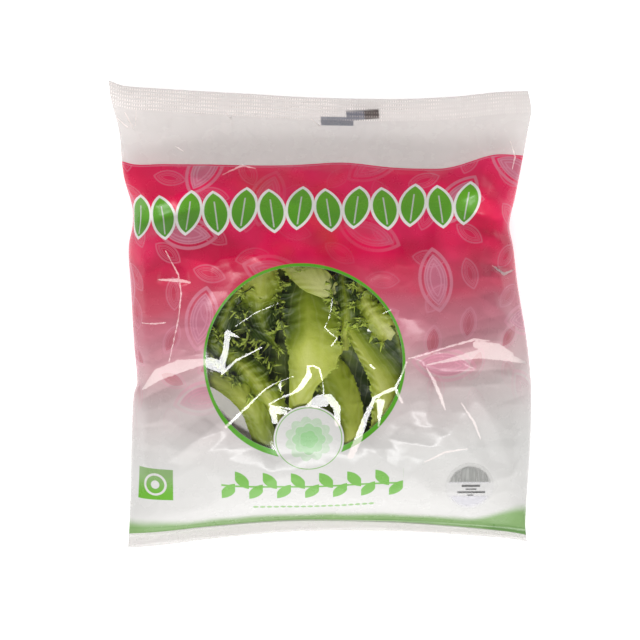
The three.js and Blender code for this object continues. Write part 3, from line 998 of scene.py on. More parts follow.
def film_finish(paint, where, see_through, colour, opacity, bright):
    """The whole film: ink, clear mirror and see-through, with fine scuffs and crinkles. Where bright is
    1 the film lies in FACET_NORMAL, its shine hides what is behind it, and its colour is whitened as a
    painted highlight."""
    tip = paint.take("ShaderNodeSeparateXYZ", "Y", None, {0: where}) * FACET_TILT + FACET_NORMAL[1]
    coded = {0: 0.5 + 0.5 * FACET_NORMAL[0], 1: tip * 0.5 + 0.5, 2: 0.5 + 0.5 * FACET_NORMAL[2]}
    facing = {"Strength": bright, "Color": paint.take("ShaderNodeCombineXYZ", 0, None, coded)}
    facet = paint.take("ShaderNodeNormalMap", "Normal", {"space": "OBJECT"}, facing)
    opacity = paint.most(opacity, bright * FACET_OPACITY)
    # painted highlight: inside the facets the print's colour is whitened
    colour = paint.blend(bright * PAINTED_HIGHLIGHT_SHARE, colour, FACET_PAINTED_HIGHLIGHT)
    scuff = paint.noise(where, 55.0, 4.0, 0.6)
    crinkle = paint.noise(where, 230.0, 3.0, 0.6)
    sockets = {
        "Base Color": colour,
        "Roughness": scuff * 0.14 + 0.2 - see_through * 0.14,
        "Normal": paint.bump(crinkle, 0.0001, 0.8, facet),
        "Specular IOR Level": 0.55,
    }
    if isinstance(see_through, Value):
        glance = paint.take("ShaderNodeFresnel", "Fac", None, {"IOR": 1.45}) * MIRROR
        opacity = opacity * (1 - see_through) + paint.least(glance, 1.0) * see_through
        sockets["Base Color"] = paint.blend(see_through, colour, srgb(255, 255, 255))
        sockets["Metallic"] = see_through
    ink = paint.take("ShaderNodeBsdfPrincipled", "BSDF", None, sockets)
    clear = paint.take("ShaderNodeBsdfTransparent", "BSDF")
    return paint.surface(paint.take("ShaderNodeMixShader", 0, None, {0: opacity, 1: clear, 2: ink}))


def red_print(paint, x, y, where, red):
    """The red field over white: two reds in clouds, darker below, a brown cast where a leaf lies close
    behind, and mauve where the ink thins out."""
    colour = paint.blend(paint.between(paint.noise(where, 22.0, 3.0), 0.35, 0.65) * 0.7, RED_LIGHT, RED)
    shade = paint.between(paint.noise(where, 34.0, 2.0) - y * 0.006, 0.0, 0.4)
    colour = paint.blend(shade * 0.6, colour, RED_SHADE)
    seen_leaf = paint.inside(oval(paint, x, y, *LEAF_BEHIND), 16.0)
    seen_leaf = seen_leaf * paint.between(paint.noise(where, 28.0), 0.4, 0.7)
    colour = paint.blend(seen_leaf * 0.4, colour, SHOWN_THROUGH)
    colour = paint.blend(red, WHITE, colour)
    return paint.blend(red * red * (1 - red) * 3.0, colour, MAUVE)


def scattered_print(paint, x, y, red, colour):
    """The scattered leaves in two sizes, weaker near the middle, and a pale line below the wavy top."""
    large, large_body = scattered_leaves(paint, x, y, 52.0, 3)
    small, small_body = scattered_leaves(paint, x, y, 27.0, 8)
    printed = paint.inside(wave_line(paint, x, y) + 1.2, 0.3)
    outlines = paint.most(large * 0.5, small * 0.3)
    reach = printed * paint.between(red, 0.03, 0.3) * (paint.between(abs(x), 25.0, 75.0) * 0.8 + 0.2)
    colour = paint.blend(large_body * reach * 0.7, colour, MAUVE)
    filled = small_body * reach * paint.between(red, 0.1, 0.5) * (1.05 - red)
    colour = paint.blend(filled, colour, RED_SHADE)
    colour = paint.blend(outlines * reach, colour, PALE_RED)
    edge = paint.inside(abs(wave_line(paint, x, y) + 1.3) - 0.35, 0.25)
    return paint.blend(edge * 0.45, colour, PALE_RED)


def row_print(paint, x, y, colour):
    """The row of leaves: white outlines, green bodies that lighten upwards, and white ribs."""
    leaf, rib = leaf_row(paint, x, y)
    colour = paint.blend(paint.inside(leaf - OUTLINE), colour, CRIMP_WHITE)
    row_low, row_high = float(ROW_LEFT[1]) - 12, float(ROW_RIGHT[1]) + 10
    shaded = paint.blend(paint.between(y, row_low, row_high), DEEP_GREEN, GREEN)
    colour = paint.blend(paint.inside(leaf), colour, shaded)
    return paint.blend(paint.inside(rib) * 0.85, colour, WHITE)


def rim_print(paint, x, y, disc_gap, colour):
    """The window's green rim, and the white disc with its line and rosette over the rim's foot."""
    colour = paint.blend(paint.inside(oval(paint, x, y, *RIM)), colour, RING_GREEN)
    colour = paint.blend(paint.inside(disc_gap), colour, WHITE)
    colour = paint.blend(paint.inside(abs(disc_gap + 1.4) - 0.28), colour, SOFT_GREEN)
    return paint.blend(rosette(paint, x, y), colour, ROSETTE_GREEN)


def foot_print(paint, x, y, where, colour):
    """What stands below the window: the vine, the dotted line, the framed square and the green band."""
    colour = paint.blend(paint.inside(vine(paint, x, y), 0.3), colour, SOFT_GREEN)
    dashes = paint.maths("FRACT", x / DASH_PITCH) * DASH_PITCH - DASH_PITCH / 2
    line_y = y - float(DASHES_MIDDLE[1]) - (x + 4) * (x + 4) * 0.0022
    dash = leaf_shape(paint, line_y, dashes, 1.3, 1.9)
    dash = paint.most(dash, abs(x + 4) - 38)
    colour = paint.blend(paint.inside(dash) * 0.75, colour, GREEN)

    square_x, square_y = x - float(SQUARE_CENTRE[0]), y - float(SQUARE_CENTRE[1])
    square = box_shape(paint, square_x, square_y, 12.2, 11.2, 1.0)
    from_middle = paint.far(square_x, square_y)
    square_green = paint.blend(paint.between(square_y, -8.0, 8.0), GREEN, BAND_GREEN)
    colour = paint.blend(paint.inside(square), colour, square_green)
    colour = paint.blend(paint.inside(abs(from_middle - 7.2) - 0.8), colour, WHITE)
    colour = paint.blend(paint.inside(from_middle - 3.0), colour, WHITE)

    colour = paint.blend(green_band(paint, x, y, where), colour, BAND_GREEN)
    # painted shade: darker lines where the foot is pleated into the seal
    return paint.blend(fold_lines(paint, x, y, where), colour, BAND_DARK)


def header_print(paint, x, y, where, header, dots, colour):
    """The milky header with its stamped dots and two small marks, one of them the back's, which shows
    through. Returns the colour, and a mask of the marks."""
    # painted shade: the milky film is painted darker towards the bottom seal
    milk = paint.blend(paint.between(y, -100.0, 100.0), MILKY_PAINTED_SHADE, MILKY)
    colour = paint.blend(header, colour, milk)
    # the stamped dots are painted white, partly as painted glints
    colour = paint.blend(dots, colour, CRIMP_WHITE)
    mottle = paint.noise(where, 700.0, 2.0) * 0.3 + 0.7
    mark = box_shape(paint, x - float(MARK_CENTRE[0]), y - float(MARK_CENTRE[1]), 10.2, 3.6, 0.3)
    marked = paint.inside(mark, 0.3)
    colour = paint.blend(marked * mottle, colour, MARK_GREY)
    mark, mark_x = back_mark(paint, x, y)
    behind = paint.inside(mark, 0.3) * (1 - marked)
    shown = paint.blend(paint.between(mark_x, 0.0, 2.0), MARK_GREY, MARK_BROWN)
    return paint.blend(behind * mottle, colour, shown), paint.most(marked, behind)


def front_film():
    """The whole front: its prints one over another, and how see-through they leave it."""
    paint = Paint("printed_film_front")
    x, y, where = film_coordinates(paint)
    red = red_field(paint, x, y, where)
    disc_gap = disc(paint, x, y, DISC_CENTRE, DISC_RADIUS)
    header = 1 - printed_sheet(paint, x, y)
    dots = crimp(paint, x, y, where)

    colour = red_print(paint, x, y, where, red)
    colour = scattered_print(paint, x, y, red, colour)
    colour = row_print(paint, x, y, colour)
    colour = rim_print(paint, x, y, disc_gap, colour)
    colour = foot_print(paint, x, y, where, colour)
    colour, marked = header_print(paint, x, y, where, header, dots, colour)

    see_through = paint.inside(paint.most(oval(paint, x, y, *WINDOW), disc_gap * -1))
    milky = header * (1 - marked * 0.85)
    opacity = PRINT_OPACITY - milky * (PRINT_OPACITY - HEADER_OPACITY) * (1 - dots * 0.8)
    return film_finish(paint, where, see_through, colour, opacity, paint.most(facets(paint, x, y), dots))


def back_mark(paint, x, y):
    """Distance outside the mark on the back sheet, which shows through the header, and x along it."""
    mark_x, mark_y = turned(paint, x - float(BACK_MARK_CENTRE[0]), y - float(BACK_MARK_CENTRE[1]), 0.1)
    return box_shape(paint, mark_x, mark_y, 10.2, 3.0, 0.3), mark_x


def crimp(paint, x, y, where):
    """How strongly the top seal is stamped: rows of small dots, clearer in some patches than in others.
    The dots whiten the film's colour, partly as painted glints.
    """
    sealed = paint.between(y, FILM_LENGTH / 2 - CRIMP_DEPTH - 1, FILM_LENGTH / 2 - CRIMP_DEPTH + 1)
    dot_x = paint.maths("FRACT", x / CRIMP_PITCH[0]) * CRIMP_PITCH[0] - CRIMP_PITCH[0] / 2
    dot_y = paint.maths("FRACT", y / CRIMP_PITCH[1]) * CRIMP_PITCH[1] - CRIMP_PITCH[1] / 2
    dot = paint.inside(paint.most(abs(dot_x) - 0.35, abs(dot_y) - 0.55), 0.3)
    patches = paint.between(paint.noise(where, 60.0, 3.0) - x * 0.0012, 0.38, 0.62)
    return sealed * (dot * (patches * 0.85 + 0.1) + 0.1)


def printed_sheet(paint, x, y):
    """1 where the sheet carries ink: below the wavy line and above the bottom seal."""
    below_wave = paint.inside(wave_line(paint, x, y), 0.3)
    return below_wave * paint.inside(SEAL_LINE + x * SEAL_SLOPE - y, 0.3)


def back_film():
    """The back has the same fields of colour without motifs, and is clear behind the window."""
    paint = Paint("printed_film_back")
    x, y, where = film_coordinates(paint)
    colour = paint.blend(paint.noise(where, 30.0, 3.0) * 0.6, RED, RED_SHADE)
    colour = paint.blend(red_field(paint, x, y, where), WHITE, colour)
    colour = paint.blend(green_band(paint, x, y, where), colour, BAND_GREEN)
    clear_patch = paint.inside(paint.far(x - WINDOW[0], y + 28) - 66, 1.5)
    header = paint.most(1 - printed_sheet(paint, x, y), clear_patch)
    colour = paint.blend(header, colour, paint.blend(clear_patch, MILKY, CLEAR_BACK))
    mark, mark_x = back_mark(paint, x, y)
    marked = paint.inside(mark, 0.3)
    colour = paint.blend(marked, colour, paint.blend(paint.between(mark_x, 0.0, 3.0), MARK_GREY, MARK_BROWN))
    opacity = PRINT_OPACITY - header * (1 - marked) * (PRINT_OPACITY - HEADER_OPACITY)
    return film_finish(paint, where, 0.0, colour, opacity, crimp(paint, x, y, where) * 0.5)


film.data.materials.append(front_film())
film.data.materials.append(back_film())
film.data.polygons.foreach_set("material_index", is_back)
print("film nodes:", [len(m.node_tree.nodes) for m in film.data.materials])

# %% [markdown]
# The date label is a clear round sticker at the lower right. It could be drawn into the film's print,
# but it is a piece of its own with a small step at its rim, so it is a thin disc that follows the film.
# Its dome, streaks and plain bars lie on it in its own coordinates, measured from its middle.

# %% The date label
LABEL = {"across": 0.7, "along": -107, "radius": 15, "gap": 0.2, "thickness": 0.25}
LABEL_RINGS, LABEL_SECTORS = 14, 72


def label_points():
    """Places on the label as rings round its middle: (x, y) = r * (cos, sin), and their heights."""
    middle = plan(np.array(LABEL["across"]), np.array(float(LABEL["along"])))
    radius, turn = np.meshgrid(
        LABEL["radius"] * np.linspace(0.01, 1, LABEL_RINGS),
        np.linspace(0, 2 * np.pi, LABEL_SECTORS, endpoint=False),
        indexing="ij",
    )
    local = np.stack([radius * np.cos(turn), radius * np.sin(turn)], axis=-1)
    x, y = local[..., 0] + middle[0], local[..., 1] + middle[1]
    low = front_height(*place_of(x, y)) + LABEL["gap"]
    return local, np.stack([x, y, low + LABEL["thickness"]], axis=-1), np.stack([x, y, low], axis=-1)


label_local, label_top, label_low = label_points()
label_index = np.arange(LABEL_RINGS * LABEL_SECTORS).reshape(LABEL_RINGS, LABEL_SECTORS)
label_low_index = label_index + label_index.size
round_again = np.append(label_index, label_index[:, :1], axis=1)
label_rings = grid_faces(round_again)
label_rim = round_again[-1]
low_rim = label_rim + label_index.size
label_wall = np.stack([low_rim[:-1], low_rim[1:], label_rim[1:], label_rim[:-1]], axis=-1)
label_caps = [label_index[0], label_low_index[0][::-1]]
date_label = mesh_object(
    "round_label",
    np.concatenate([label_top.reshape(-1, 3), label_low.reshape(-1, 3)]),
    [*label_rings[:, ::-1], *(label_rings + label_index.size), *label_wall, *label_caps],
    np.concatenate([label_local.reshape(-1, 2)] * 2),
)
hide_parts("date_label")
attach(date_label, "root")
print("label faces:", len(date_label.data.polygons))

# %% Label finish
LABEL_GREY = srgb(176, 177, 174)
LABEL_WHITE = srgb(240, 239, 246)
LABEL_BARS = srgb(96, 96, 94)
# Each bar is (middle x, middle y, half its length, half its height)
BARS = ((0.7, 0.2, 5.6, 0.6), (0.9, -1.9, 3.3, 0.4), (1.1, -3.9, 8.6, 0.6), (0.6, -5.8, 1.9, 0.35))


def label_finish():
    """Clear film with a grey dome above its middle, whitish below, and four dark bars between."""
    paint = Paint("clear_label")
    x, y, where = film_coordinates(paint)
    streaks = paint.noise(paint.take("ShaderNodeCombineXYZ", 0, None, {0: x * 0.55, 1: y * 0.04}), 1.0, 2.0)
    dome = paint.inside(2.2 - y, 0.5) * paint.inside(paint.far(x, y + 0.8) - 13.0, 0.9)
    middle = paint.inside(paint.far(x + 0.6, y - 7.5) - 4.2, 2.2)
    grey = dome * (paint.between(streaks, 0.35, 0.7) * 0.4 + middle * 0.4 + 0.2)
    foot = paint.inside(y + 6.4, 1.0) * paint.inside(paint.far(x, y) - 13.0, 1.5)
    bars = None
    for middle_x, middle_y, half_length, half_height in BARS:
        bar = paint.inside(box_shape(paint, x - middle_x, y - middle_y, half_length, half_height, 0.2), 0.25)
        bars = bar if bars is None else paint.most(bars, bar)
    worn = paint.between(paint.noise(where, 900.0, 2.0), 0.35, 0.6) * 0.55 + 0.3
    colour = paint.blend(paint.inside(2.6 - y, 0.5), LABEL_WHITE, LABEL_GREY)
    colour = paint.blend(bars, colour, LABEL_BARS)
    cover = paint.most(paint.most(grey, foot * 0.4), bars * worn) + 0.05
    sockets = {"Base Color": colour, "Roughness": 0.12, "Coat Weight": 0.4}
    film_part = paint.take("ShaderNodeBsdfPrincipled", "BSDF", None, sockets)
    clear = paint.take("ShaderNodeBsdfTransparent", "BSDF")
    mixed = {0: paint.least(cover, 1.0), 1: clear, 2: film_part}
    return paint.surface(paint.take("ShaderNodeMixShader", 0, None, mixed))


date_label.data.materials.append(label_finish())

# %% [markdown]
# The leaves. Frilled lettuce has a broad, juicy rib that thins out into a blade, and the blade's edge
# grows so much faster than its middle that it has to ruffle, and ends in a fringe of sharp teeth. A
# leaf could be grown from its own length and width, but the window shows where each one lies. So each
# leaf follows a spine drawn through points read from the picture, with its own width to either side,
# and one function turns them all into surfaces. `up` runs from the foot to the tip and `side` from the
# left margin over the rib to the right margin.

# %% One leaf
RUFFLE_LENGTH = 13  # from one crest of a margin to the next
TOOTH = {"every": 0.6, "long": (2.5, 7.5), "wide": 2.7}
TOOTH_RINGS = 4


def triangle_wave(t):
    """0 at whole numbers and 1 half way between, in straight lines."""
    return 1 - np.abs(2 * (t % 1) - 1)


def through_knots(values, up):
    """A smooth curve through values that lie evenly from up = 0 to up = 1."""
    return smooth_through(*zip(np.linspace(0, 1, len(values)), values))(up)


def spine_frame(up, spine):
    """The spine's point, depth and unit direction at up. The direction is the slope over a short step."""
    x, y, depth = (through_knots(values, up) for values in zip(*spine))
    ahead, behind = np.minimum(up + 0.03, 1), np.maximum(up - 0.03, 0)
    sides = list(zip(*spine))[:2]
    dx, dy = (through_knots(values, ahead) - through_knots(values, behind) for values in sides)
    length = np.hypot(dx, dy)
    return x, y, depth, dx / length, dy / length


def leaf_surface(up, side, spine, left, right, rib, frill, tone, seed, cup=0.0, lit=0.0):
    """A leaf's middle sheet: x, y and depth below the film, and its half thickness, its distance from
    the rib in rib widths, and its tone. The tone is partly the leaf's own green and partly painted shade,
    and lit paints light on it, paler to the right. A place lies |side| of the way from the spine to the
    margin, whose distance is left or right times (1 - up^9)^0.5. Ruffles lift it by frill * |side|^2.4 *
    sin and push it along itself by frill * |side|^3.5 * cos, so that they lap over each other."""
    draw = np.random.default_rng(seed)
    out, is_left = np.abs(side), side < 0
    phase = np.where(is_left[..., None], draw.uniform(0, 6.28, 4), draw.uniform(0, 6.28, 4))
    x, y, depth, ahead_x, ahead_y = spine_frame(up, spine)
    run = np.hypot(*np.diff(np.array(spine)[:, :2], axis=0).T).sum()
    margin = np.where(is_left, through_knots(left, up), through_knots(right, up))
    margin = margin * np.sqrt(np.clip(1 - up**9, 0.0004, 1))
    ruffled = through_knots(frill, up)
    rib_width = through_knots(rib, up)

    uneven = up * run + 2.2 * np.sin(up * run / 7.0 + phase[..., 3])
    uneven = uneven + 0.9 * np.sin(up * run / 2.6 + phase[..., 2])
    wave = 2 * np.pi * uneven / RUFFLE_LENGTH + phase[..., 0]
    lift = out**2.4 * np.sin(wave) + 0.45 * out**5 * np.sin(2.9 * wave + phase[..., 1])
    lap = out**3.5 * (0.75 * np.cos(wave) + 0.4 * np.cos(2.9 * wave + phase[..., 1]))
    swell = 1 + 0.1 * np.sin(wave * 0.5 + phase[..., 2]) * np.minimum(1, ruffled / 3)
    lobes = 0.36 * triangle_wave(uneven / 6.3) + 0.2 * triangle_wave(uneven / 2.3) - 0.28
    off = out * margin * swell * (1 + lobes * out**2 * np.minimum(1, ruffled / 5))
    bulge = 0.2 * rib_width * np.exp(-((off / (rib_width + 0.01)) ** 2))
    bulge = bulge + 0.2 * np.cos(1.5 * (off - 0.55 * up * run) + phase[..., 0]) * np.clip(out * 2.5, 0, 1)
    blisters = 0.5 * np.sin(uneven * 0.9 + off * 0.5 + phase[..., 3]) * out * (1 - out) * ruffled
    sideways = np.where(is_left, off, -off)
    x = x - ahead_y * sideways + ahead_x * lap * ruffled * 0.8
    y = y + ahead_x * sideways + ahead_y * lap * ruffled * 0.8
    depth = depth - bulge - cup * out**2 - ruffled * 0.7 * lift - blisters
    thick = 0.4 + 0.2 * np.abs(bulge)
    return x, y, depth, thick, off / (rib_width + 0.01), through_knots(tone, up) - lit * side


# %% [markdown]
# The teeth of the fringe are too fine for the sheet, so each is a little spike of its own: a flat,
# four-sided horn that grows out of the margin, leans at a random angle and bends as it tapers.

# %% The fringe


def leaf_teeth(leaf):
    """The rings of four points of every tooth, as arrays over (tooth, ring, corner), like leaf_surface's."""
    draw = np.random.default_rng(leaf["seed"] + 900)
    run = np.hypot(*np.diff(np.array(leaf["spine"])[:, :2], axis=0).T).sum()
    count = int(2 * run / TOOTH["every"])
    up = draw.uniform(0.04, 0.995, count)
    up = np.where(draw.uniform(size=count) < 0.25, 1 - 0.12 * draw.uniform(size=count) ** 2, up)
    side = np.where(draw.uniform(size=count) < 0.5, -1.0, 1.0)
    size = np.clip(through_knots(leaf["frill"], up) / 5, 0, 1) * draw.uniform(*TOOTH["long"], count)
    keep = size > 0.8
    up, side, size = up[keep], side[keep], size[keep]
    inner = side * (0.97 - 0.25 * draw.uniform(size=len(up)) ** 2)
    root = np.stack(leaf_surface(up, inner, **leaf)[:3], axis=-1) * (1, 1, -1)
    edge = np.stack(leaf_surface(up, inner + side * 0.03, **leaf)[:3], axis=-1) * (1, 1, -1)
    beside = np.stack(leaf_surface(np.minimum(up + 0.004, 1), inner, **leaf)[:3], axis=-1) * (1, 1, -1)
    outward = unit(edge - root + 1e-6)
    level = unit(np.cross(beside - root + 1e-6, outward))
    beside = np.cross(outward, level)
    most = np.reshape((0.55, 0.5, 0.9, 1.1), (4, 1, 1))
    lean, rise, bend, curl = draw.uniform(-1, 1, (4, len(up), 1)) * most
    heading = unit(outward + beside * lean + level * rise)
    wide = unit(np.cross(level, heading))
    high = np.cross(heading, wide)
    share = np.linspace(0, 1, TOOTH_RINGS)[None, :, None]
    long = size[:, None, None]
    middle = root[:, None] + heading[:, None] * share * long
    middle = middle + (wide * bend + high * curl)[:, None] * share**2 * long * 0.45
    taper = (1 - share) ** 0.8 + 0.04
    spread = wide[:, None] * taper * TOOTH["wide"] / 2
    depth = high[:, None] * taper * 0.2
    rings = np.stack([middle + spread, middle + depth, middle - spread, middle - depth], axis=2)
    tone = np.broadcast_to(through_knots(leaf["tone"], up)[:, None, None], rings.shape[:3])
    place = np.broadcast_to(up[:, None, None], rings.shape[:3])
    tip = np.broadcast_to(share, rings.shape[:3])
    return rings * (1, 1, -1), tone, place, tip


def unit(vectors):
    """Vectors scaled to length 1."""
    return vectors / np.linalg.norm(vectors, axis=-1, keepdims=True)


def tooth_faces(count):
    """Faces of count teeth of TOOTH_RINGS rings: four walls between rings, and both ends closed."""
    index = np.arange(count * TOOTH_RINGS * 4).reshape(count, TOOTH_RINGS, 4)
    nxt = np.roll(index, -1, axis=2)
    walls = np.stack([index[:, :-1], nxt[:, :-1], nxt[:, 1:], index[:, 1:]], axis=-1).reshape(-1, 4)
    return np.concatenate([walls, index[:, 0, ::-1], index[:, -1]])


# %% [markdown]
# The leaves lie in the bag as they fell, pressed against the film from below, so every point is squeezed
# into the room between front and back. The squeeze is a soft one: the gap to the film goes through
# least + log(1 + e^gap), so a leaf that reaches the film flattens against it and never crosses it. In
# the same way no leaf reaches out of the bag's plan.

# %% A leaf in its place
SIDE_CROWDING = 0.4
LEAF_LIMITS = (0.7, 1.6)  # the least gap that a leaf keeps to the front film and to the back film
LEAF_ROOM = ((-84, 72), (-104, 62))  # how far leaves reach in x and y


def crowded(count):
    """count shares from -1 to 1, closer together towards both ends: (1 - k)*u + k*sin(pi*u/2)."""
    u = np.linspace(-1, 1, count)
    return (1 - SIDE_CROWDING) * u + SIDE_CROWDING * np.sin(np.pi / 2 * u)


def film_heights(x, y):
    """Heights of the front and the back film over points seen from above."""
    across, along = place_of(x, y)
    return front_height(across, along), back_height(across, along)


def squeezed(gap, least):
    """A gap that is never under least: least + softness * log(1 + e^((gap - least) / softness))."""
    softness = 0.9
    return least + softness * np.logaddexp(0, (gap - least) / softness)


def kept(value, low, high):
    """A value that never leaves low to high: past 0.8 of the half range it turns into tanh."""
    middle, reach = (low + high) / 2, (high - low) / 2
    share = (value - middle) / reach
    over = np.clip(np.abs(share) - 0.8, 0, None)
    return middle + reach * np.sign(share) * (np.minimum(np.abs(share), 0.8) + 0.2 * np.tanh(over / 0.2))


def in_bag(x, y, depth):
    """Points of the bag's inside from places and depths below the front film."""
    x, y = kept(x, *LEAF_ROOM[0]), kept(y, *LEAF_ROOM[1])
    front, back = film_heights(x, y)
    height = front - squeezed(depth, LEAF_LIMITS[0])
    back = np.maximum(back, 0)
    return np.stack([x, y, back + squeezed(height - back, LEAF_LIMITS[1])], axis=-1)


def leaf_heap(name, leaves, grid):
    """One mesh of several leaves and their teeth, with three numbers on each point: `blade`, how far
    from the rib it is, `tone`, how dark the leaf is there, partly painted shade, and `edge`, how near
    the margin it is."""
    up, side = np.meshgrid(np.linspace(0, 1, grid[0]), crowded(grid[1]), indexing="ij")
    index = np.arange(up.size).reshape(grid)
    sheet = grid_faces(index)
    rim = rim_of(index)
    wall = np.stack([rim[1:], rim[:-1], rim[:-1] + up.size, rim[1:] + up.size], axis=-1)
    shell = np.concatenate([sheet[:, ::-1] + up.size, sheet, wall])
    points, faces, blade, tone, edge, uv, count = [], [], [], [], [], [], 0
    for leaf in leaves:
        x, y, depth, thick, away, shade = leaf_surface(up, side, **leaf)
        for sign in (1, -1):
            points.append(in_bag(x, y, depth - sign * thick).reshape(-1, 3))
        faces.append(shell + count)
        blade += [away.ravel()] * 2
        tone += [shade.ravel()] * 2
        edge += [np.abs(side).ravel()] * 2
        uv += [np.stack([up, side], axis=-1).reshape(-1, 2) / MM] * 2
        count += 2 * up.size
        rings, shade, place, tip = leaf_teeth(leaf)
        points.append(in_bag(*np.moveaxis(rings, -1, 0)).reshape(-1, 3))
        faces.append(tooth_faces(len(rings)) + count)
        blade.append(np.full(rings[..., 0].size, 1.5))
        tone.append(shade.ravel())
        edge.append((1 + tip).ravel())
        uv.append(np.stack([place, 1 + tip], axis=-1).reshape(-1, 2) / MM)
        count += rings[..., 0].size
    piece = mesh_object(name, np.concatenate(points), np.concatenate(faces), np.concatenate(uv))
    for key, values in (("blade", blade), ("tone", tone), ("edge", edge)):
        layer = piece.data.attributes.new(key, "FLOAT", "POINT")
        layer.data.foreach_set("value", np.concatenate(values).astype(np.float32))
    return piece


# %% [markdown]
# What the window shows: two broad pale stalks that rise from the bottom and fan out, a curved one at
# the lower left with the bare back film below it, a pale blade at the right, clusters of dark frills at
# the upper left and the top, and a hazy blade against the film at the top. Each spine is a row of (x, y,
# depth below the film) in millimetres; the other rows are widths, frill and tone along it.

# %% Where the leaves lie
# tone is partly each leaf's own green and partly painted shade; lit paints light on a leaf's right half
WINDOW_LEAVES = (
    dict(
        spine=(
            (-15, -86, 8), (-14.5, -66, 5.5), (-12.5, -45, 5), (-8, -26, 3),
            (-7, -7, 4.5), (-8, 10, 6.5), (-9, 27, 8),
        ),
        left=(6, 5, 6.5, 12, 16, 19, 15), right=(8, 8, 9, 18.5, 19, 17, 14), rib=(8, 9, 11, 15, 10, 6, 3),
        frill=(0, 0.2, 0.4, 1.4, 2.0, 3, 6), tone=(0.2, 0.2, 0.05, 0.08, 0.45, 0.65, 0.7),
        seed=1, cup=2, lit=0.22,
    ),
    dict(
        spine=(
            (14, -104, 9), (18, -88, 5), (18.5, -72, 5), (16.5, -56, 5.5),
            (11, -41, 7.5), (3, -29, 10), (-4, -18, 13),
        ),
        left=(9, 9, 8, 9, 11, 11, 8), right=(8, 8, 8, 9, 10, 9, 6), rib=(12, 12, 11, 11, 10, 8, 6),
        frill=(0, 0.2, 0.3, 0.8, 1.0, 1, 1), tone=(0.1, 0.1, 0.15, 0.25, 0.35, 0.4, 0.4),
        seed=2, cup=-1.5, lit=0.12,
    ),
    dict(
        spine=(
            (36, -96, 9), (38, -74, 4.5), (40, -54, 4.5), (34, -37, 4),
            (26, -24, 4), (20, -14, 4.5), (17, -5, 6),
        ),
        left=(8, 8, 8, 5, 3.5, 3, 2.5), right=(10, 11, 14, 20, 25, 22, 12), rib=(7, 7, 6, 4.5, 3.5, 3, 2),
        frill=(0, 0.8, 1.4, 1.0, 0.6, 0.8, 3), tone=(0.1, 0, 0, 0.15, 0.25, 0.3, 0.3), seed=3, cup=1,
    ),
    dict(
        spine=((54, -24, 13), (46, -14, 5), (37, -6, 2.5), (30, 3, 2.5), (25, 13, 3), (22, 24, 5)),
        left=(6, 8, 9, 9, 7, 5), right=(8, 11, 11, 10, 8, 6), rib=(4, 4, 3.5, 3, 2, 1.5),
        frill=(2, 3.5, 4.5, 6, 7, 7), tone=(0, -0.15, -0.1, 0.05, 0.3, 0.5), seed=4,
    ),
    dict(
        spine=((15, -22, 12), (16, -6, 3.5), (15.8, 6, 2.5), (14, 17, 3), (13, 29, 5)),
        left=(2, 4, 7, 9, 8), right=(2, 5, 9, 10, 9), rib=(2.4, 2.2, 1.8, 1.4, 1),
        frill=(0.4, 4, 7, 8, 8), tone=(0.1, 0.35, 0.6, 0.7, 0.75), seed=5,
    ),
    dict(
        spine=((-35, 34, 5.5), (-36, 22, 4.5), (-37, 12, 3.5), (-37, 2, 3.5), (-34, -8, 3.5), (-28, -16, 5)),
        left=(9, 11, 12, 12, 11, 9), right=(9, 12, 12, 12, 11, 8), rib=(7, 7, 6, 3, 2, 1.5),
        frill=(2, 2, 3, 6, 8.5, 8), tone=(-0.05, 0, 0.1, 0.45, 0.65, 0.6), seed=6,
    ),
    dict(
        spine=(
            (-28, -98, 6), (-32.5, -84, 5), (-36.5, -70, 5), (-42, -57, 5),
            (-51, -48, 5), (-62, -42, 6), (-76, -37, 8),
        ),
        left=(7, 7, 7, 7, 6, 5, 4), right=(8, 9, 8, 8, 8, 7, 6), rib=(7, 7, 7, 6.5, 6, 5, 4),
        frill=(0.2, 0.5, 0.5, 0.4, 0.4, 0.5, 1), tone=(0.8, 0.7, 0.4, 0.15, 0.1, 0.2, 0.3),
        seed=7, cup=-1,
    ),
    dict(
        spine=(
            (-20, -72, 14), (-30, -54, 6), (-40, -40, 3.5), (-48, -31, 3.5),
            (-57, -24, 4.5), (-69, -15, 6),
        ),
        left=(3, 6, 9, 10, 10, 8), right=(4, 8, 11, 12, 11, 8), rib=(4, 3.5, 3, 2.4, 2, 1.5),
        frill=(0.6, 3, 6.5, 8, 8, 8), tone=(0.1, 0.15, 0.3, 0.4, 0.5, 0.6), seed=8,
    ),
    dict(
        spine=((14, 6, 8), (4, 15, 3.4), (-5, 21, 2.6), (-13, 26, 2.8), (-22, 31, 4)),
        left=(2, 6, 8, 7, 5), right=(2, 8, 10, 9, 6), rib=(3, 7, 8, 7, 4),
        frill=(0.2, 0.2, 0.3, 0.6, 2), tone=(0, -0.15, -0.2, -0.1, 0.1), seed=9,
    ),
    dict(
        spine=((-66, -30, 12), (-64, -18, 6), (-60, -6, 4.5), (-55, 6, 4.5), (-48, 18, 6)),
        left=(5, 8, 9, 9, 7), right=(5, 9, 10, 10, 8), rib=(2.5, 2.2, 1.8, 1.5, 1),
        frill=(3, 6, 8, 8, 8), tone=(0.5, 0.5, 0.6, 0.65, 0.7), seed=10,
    ),
)
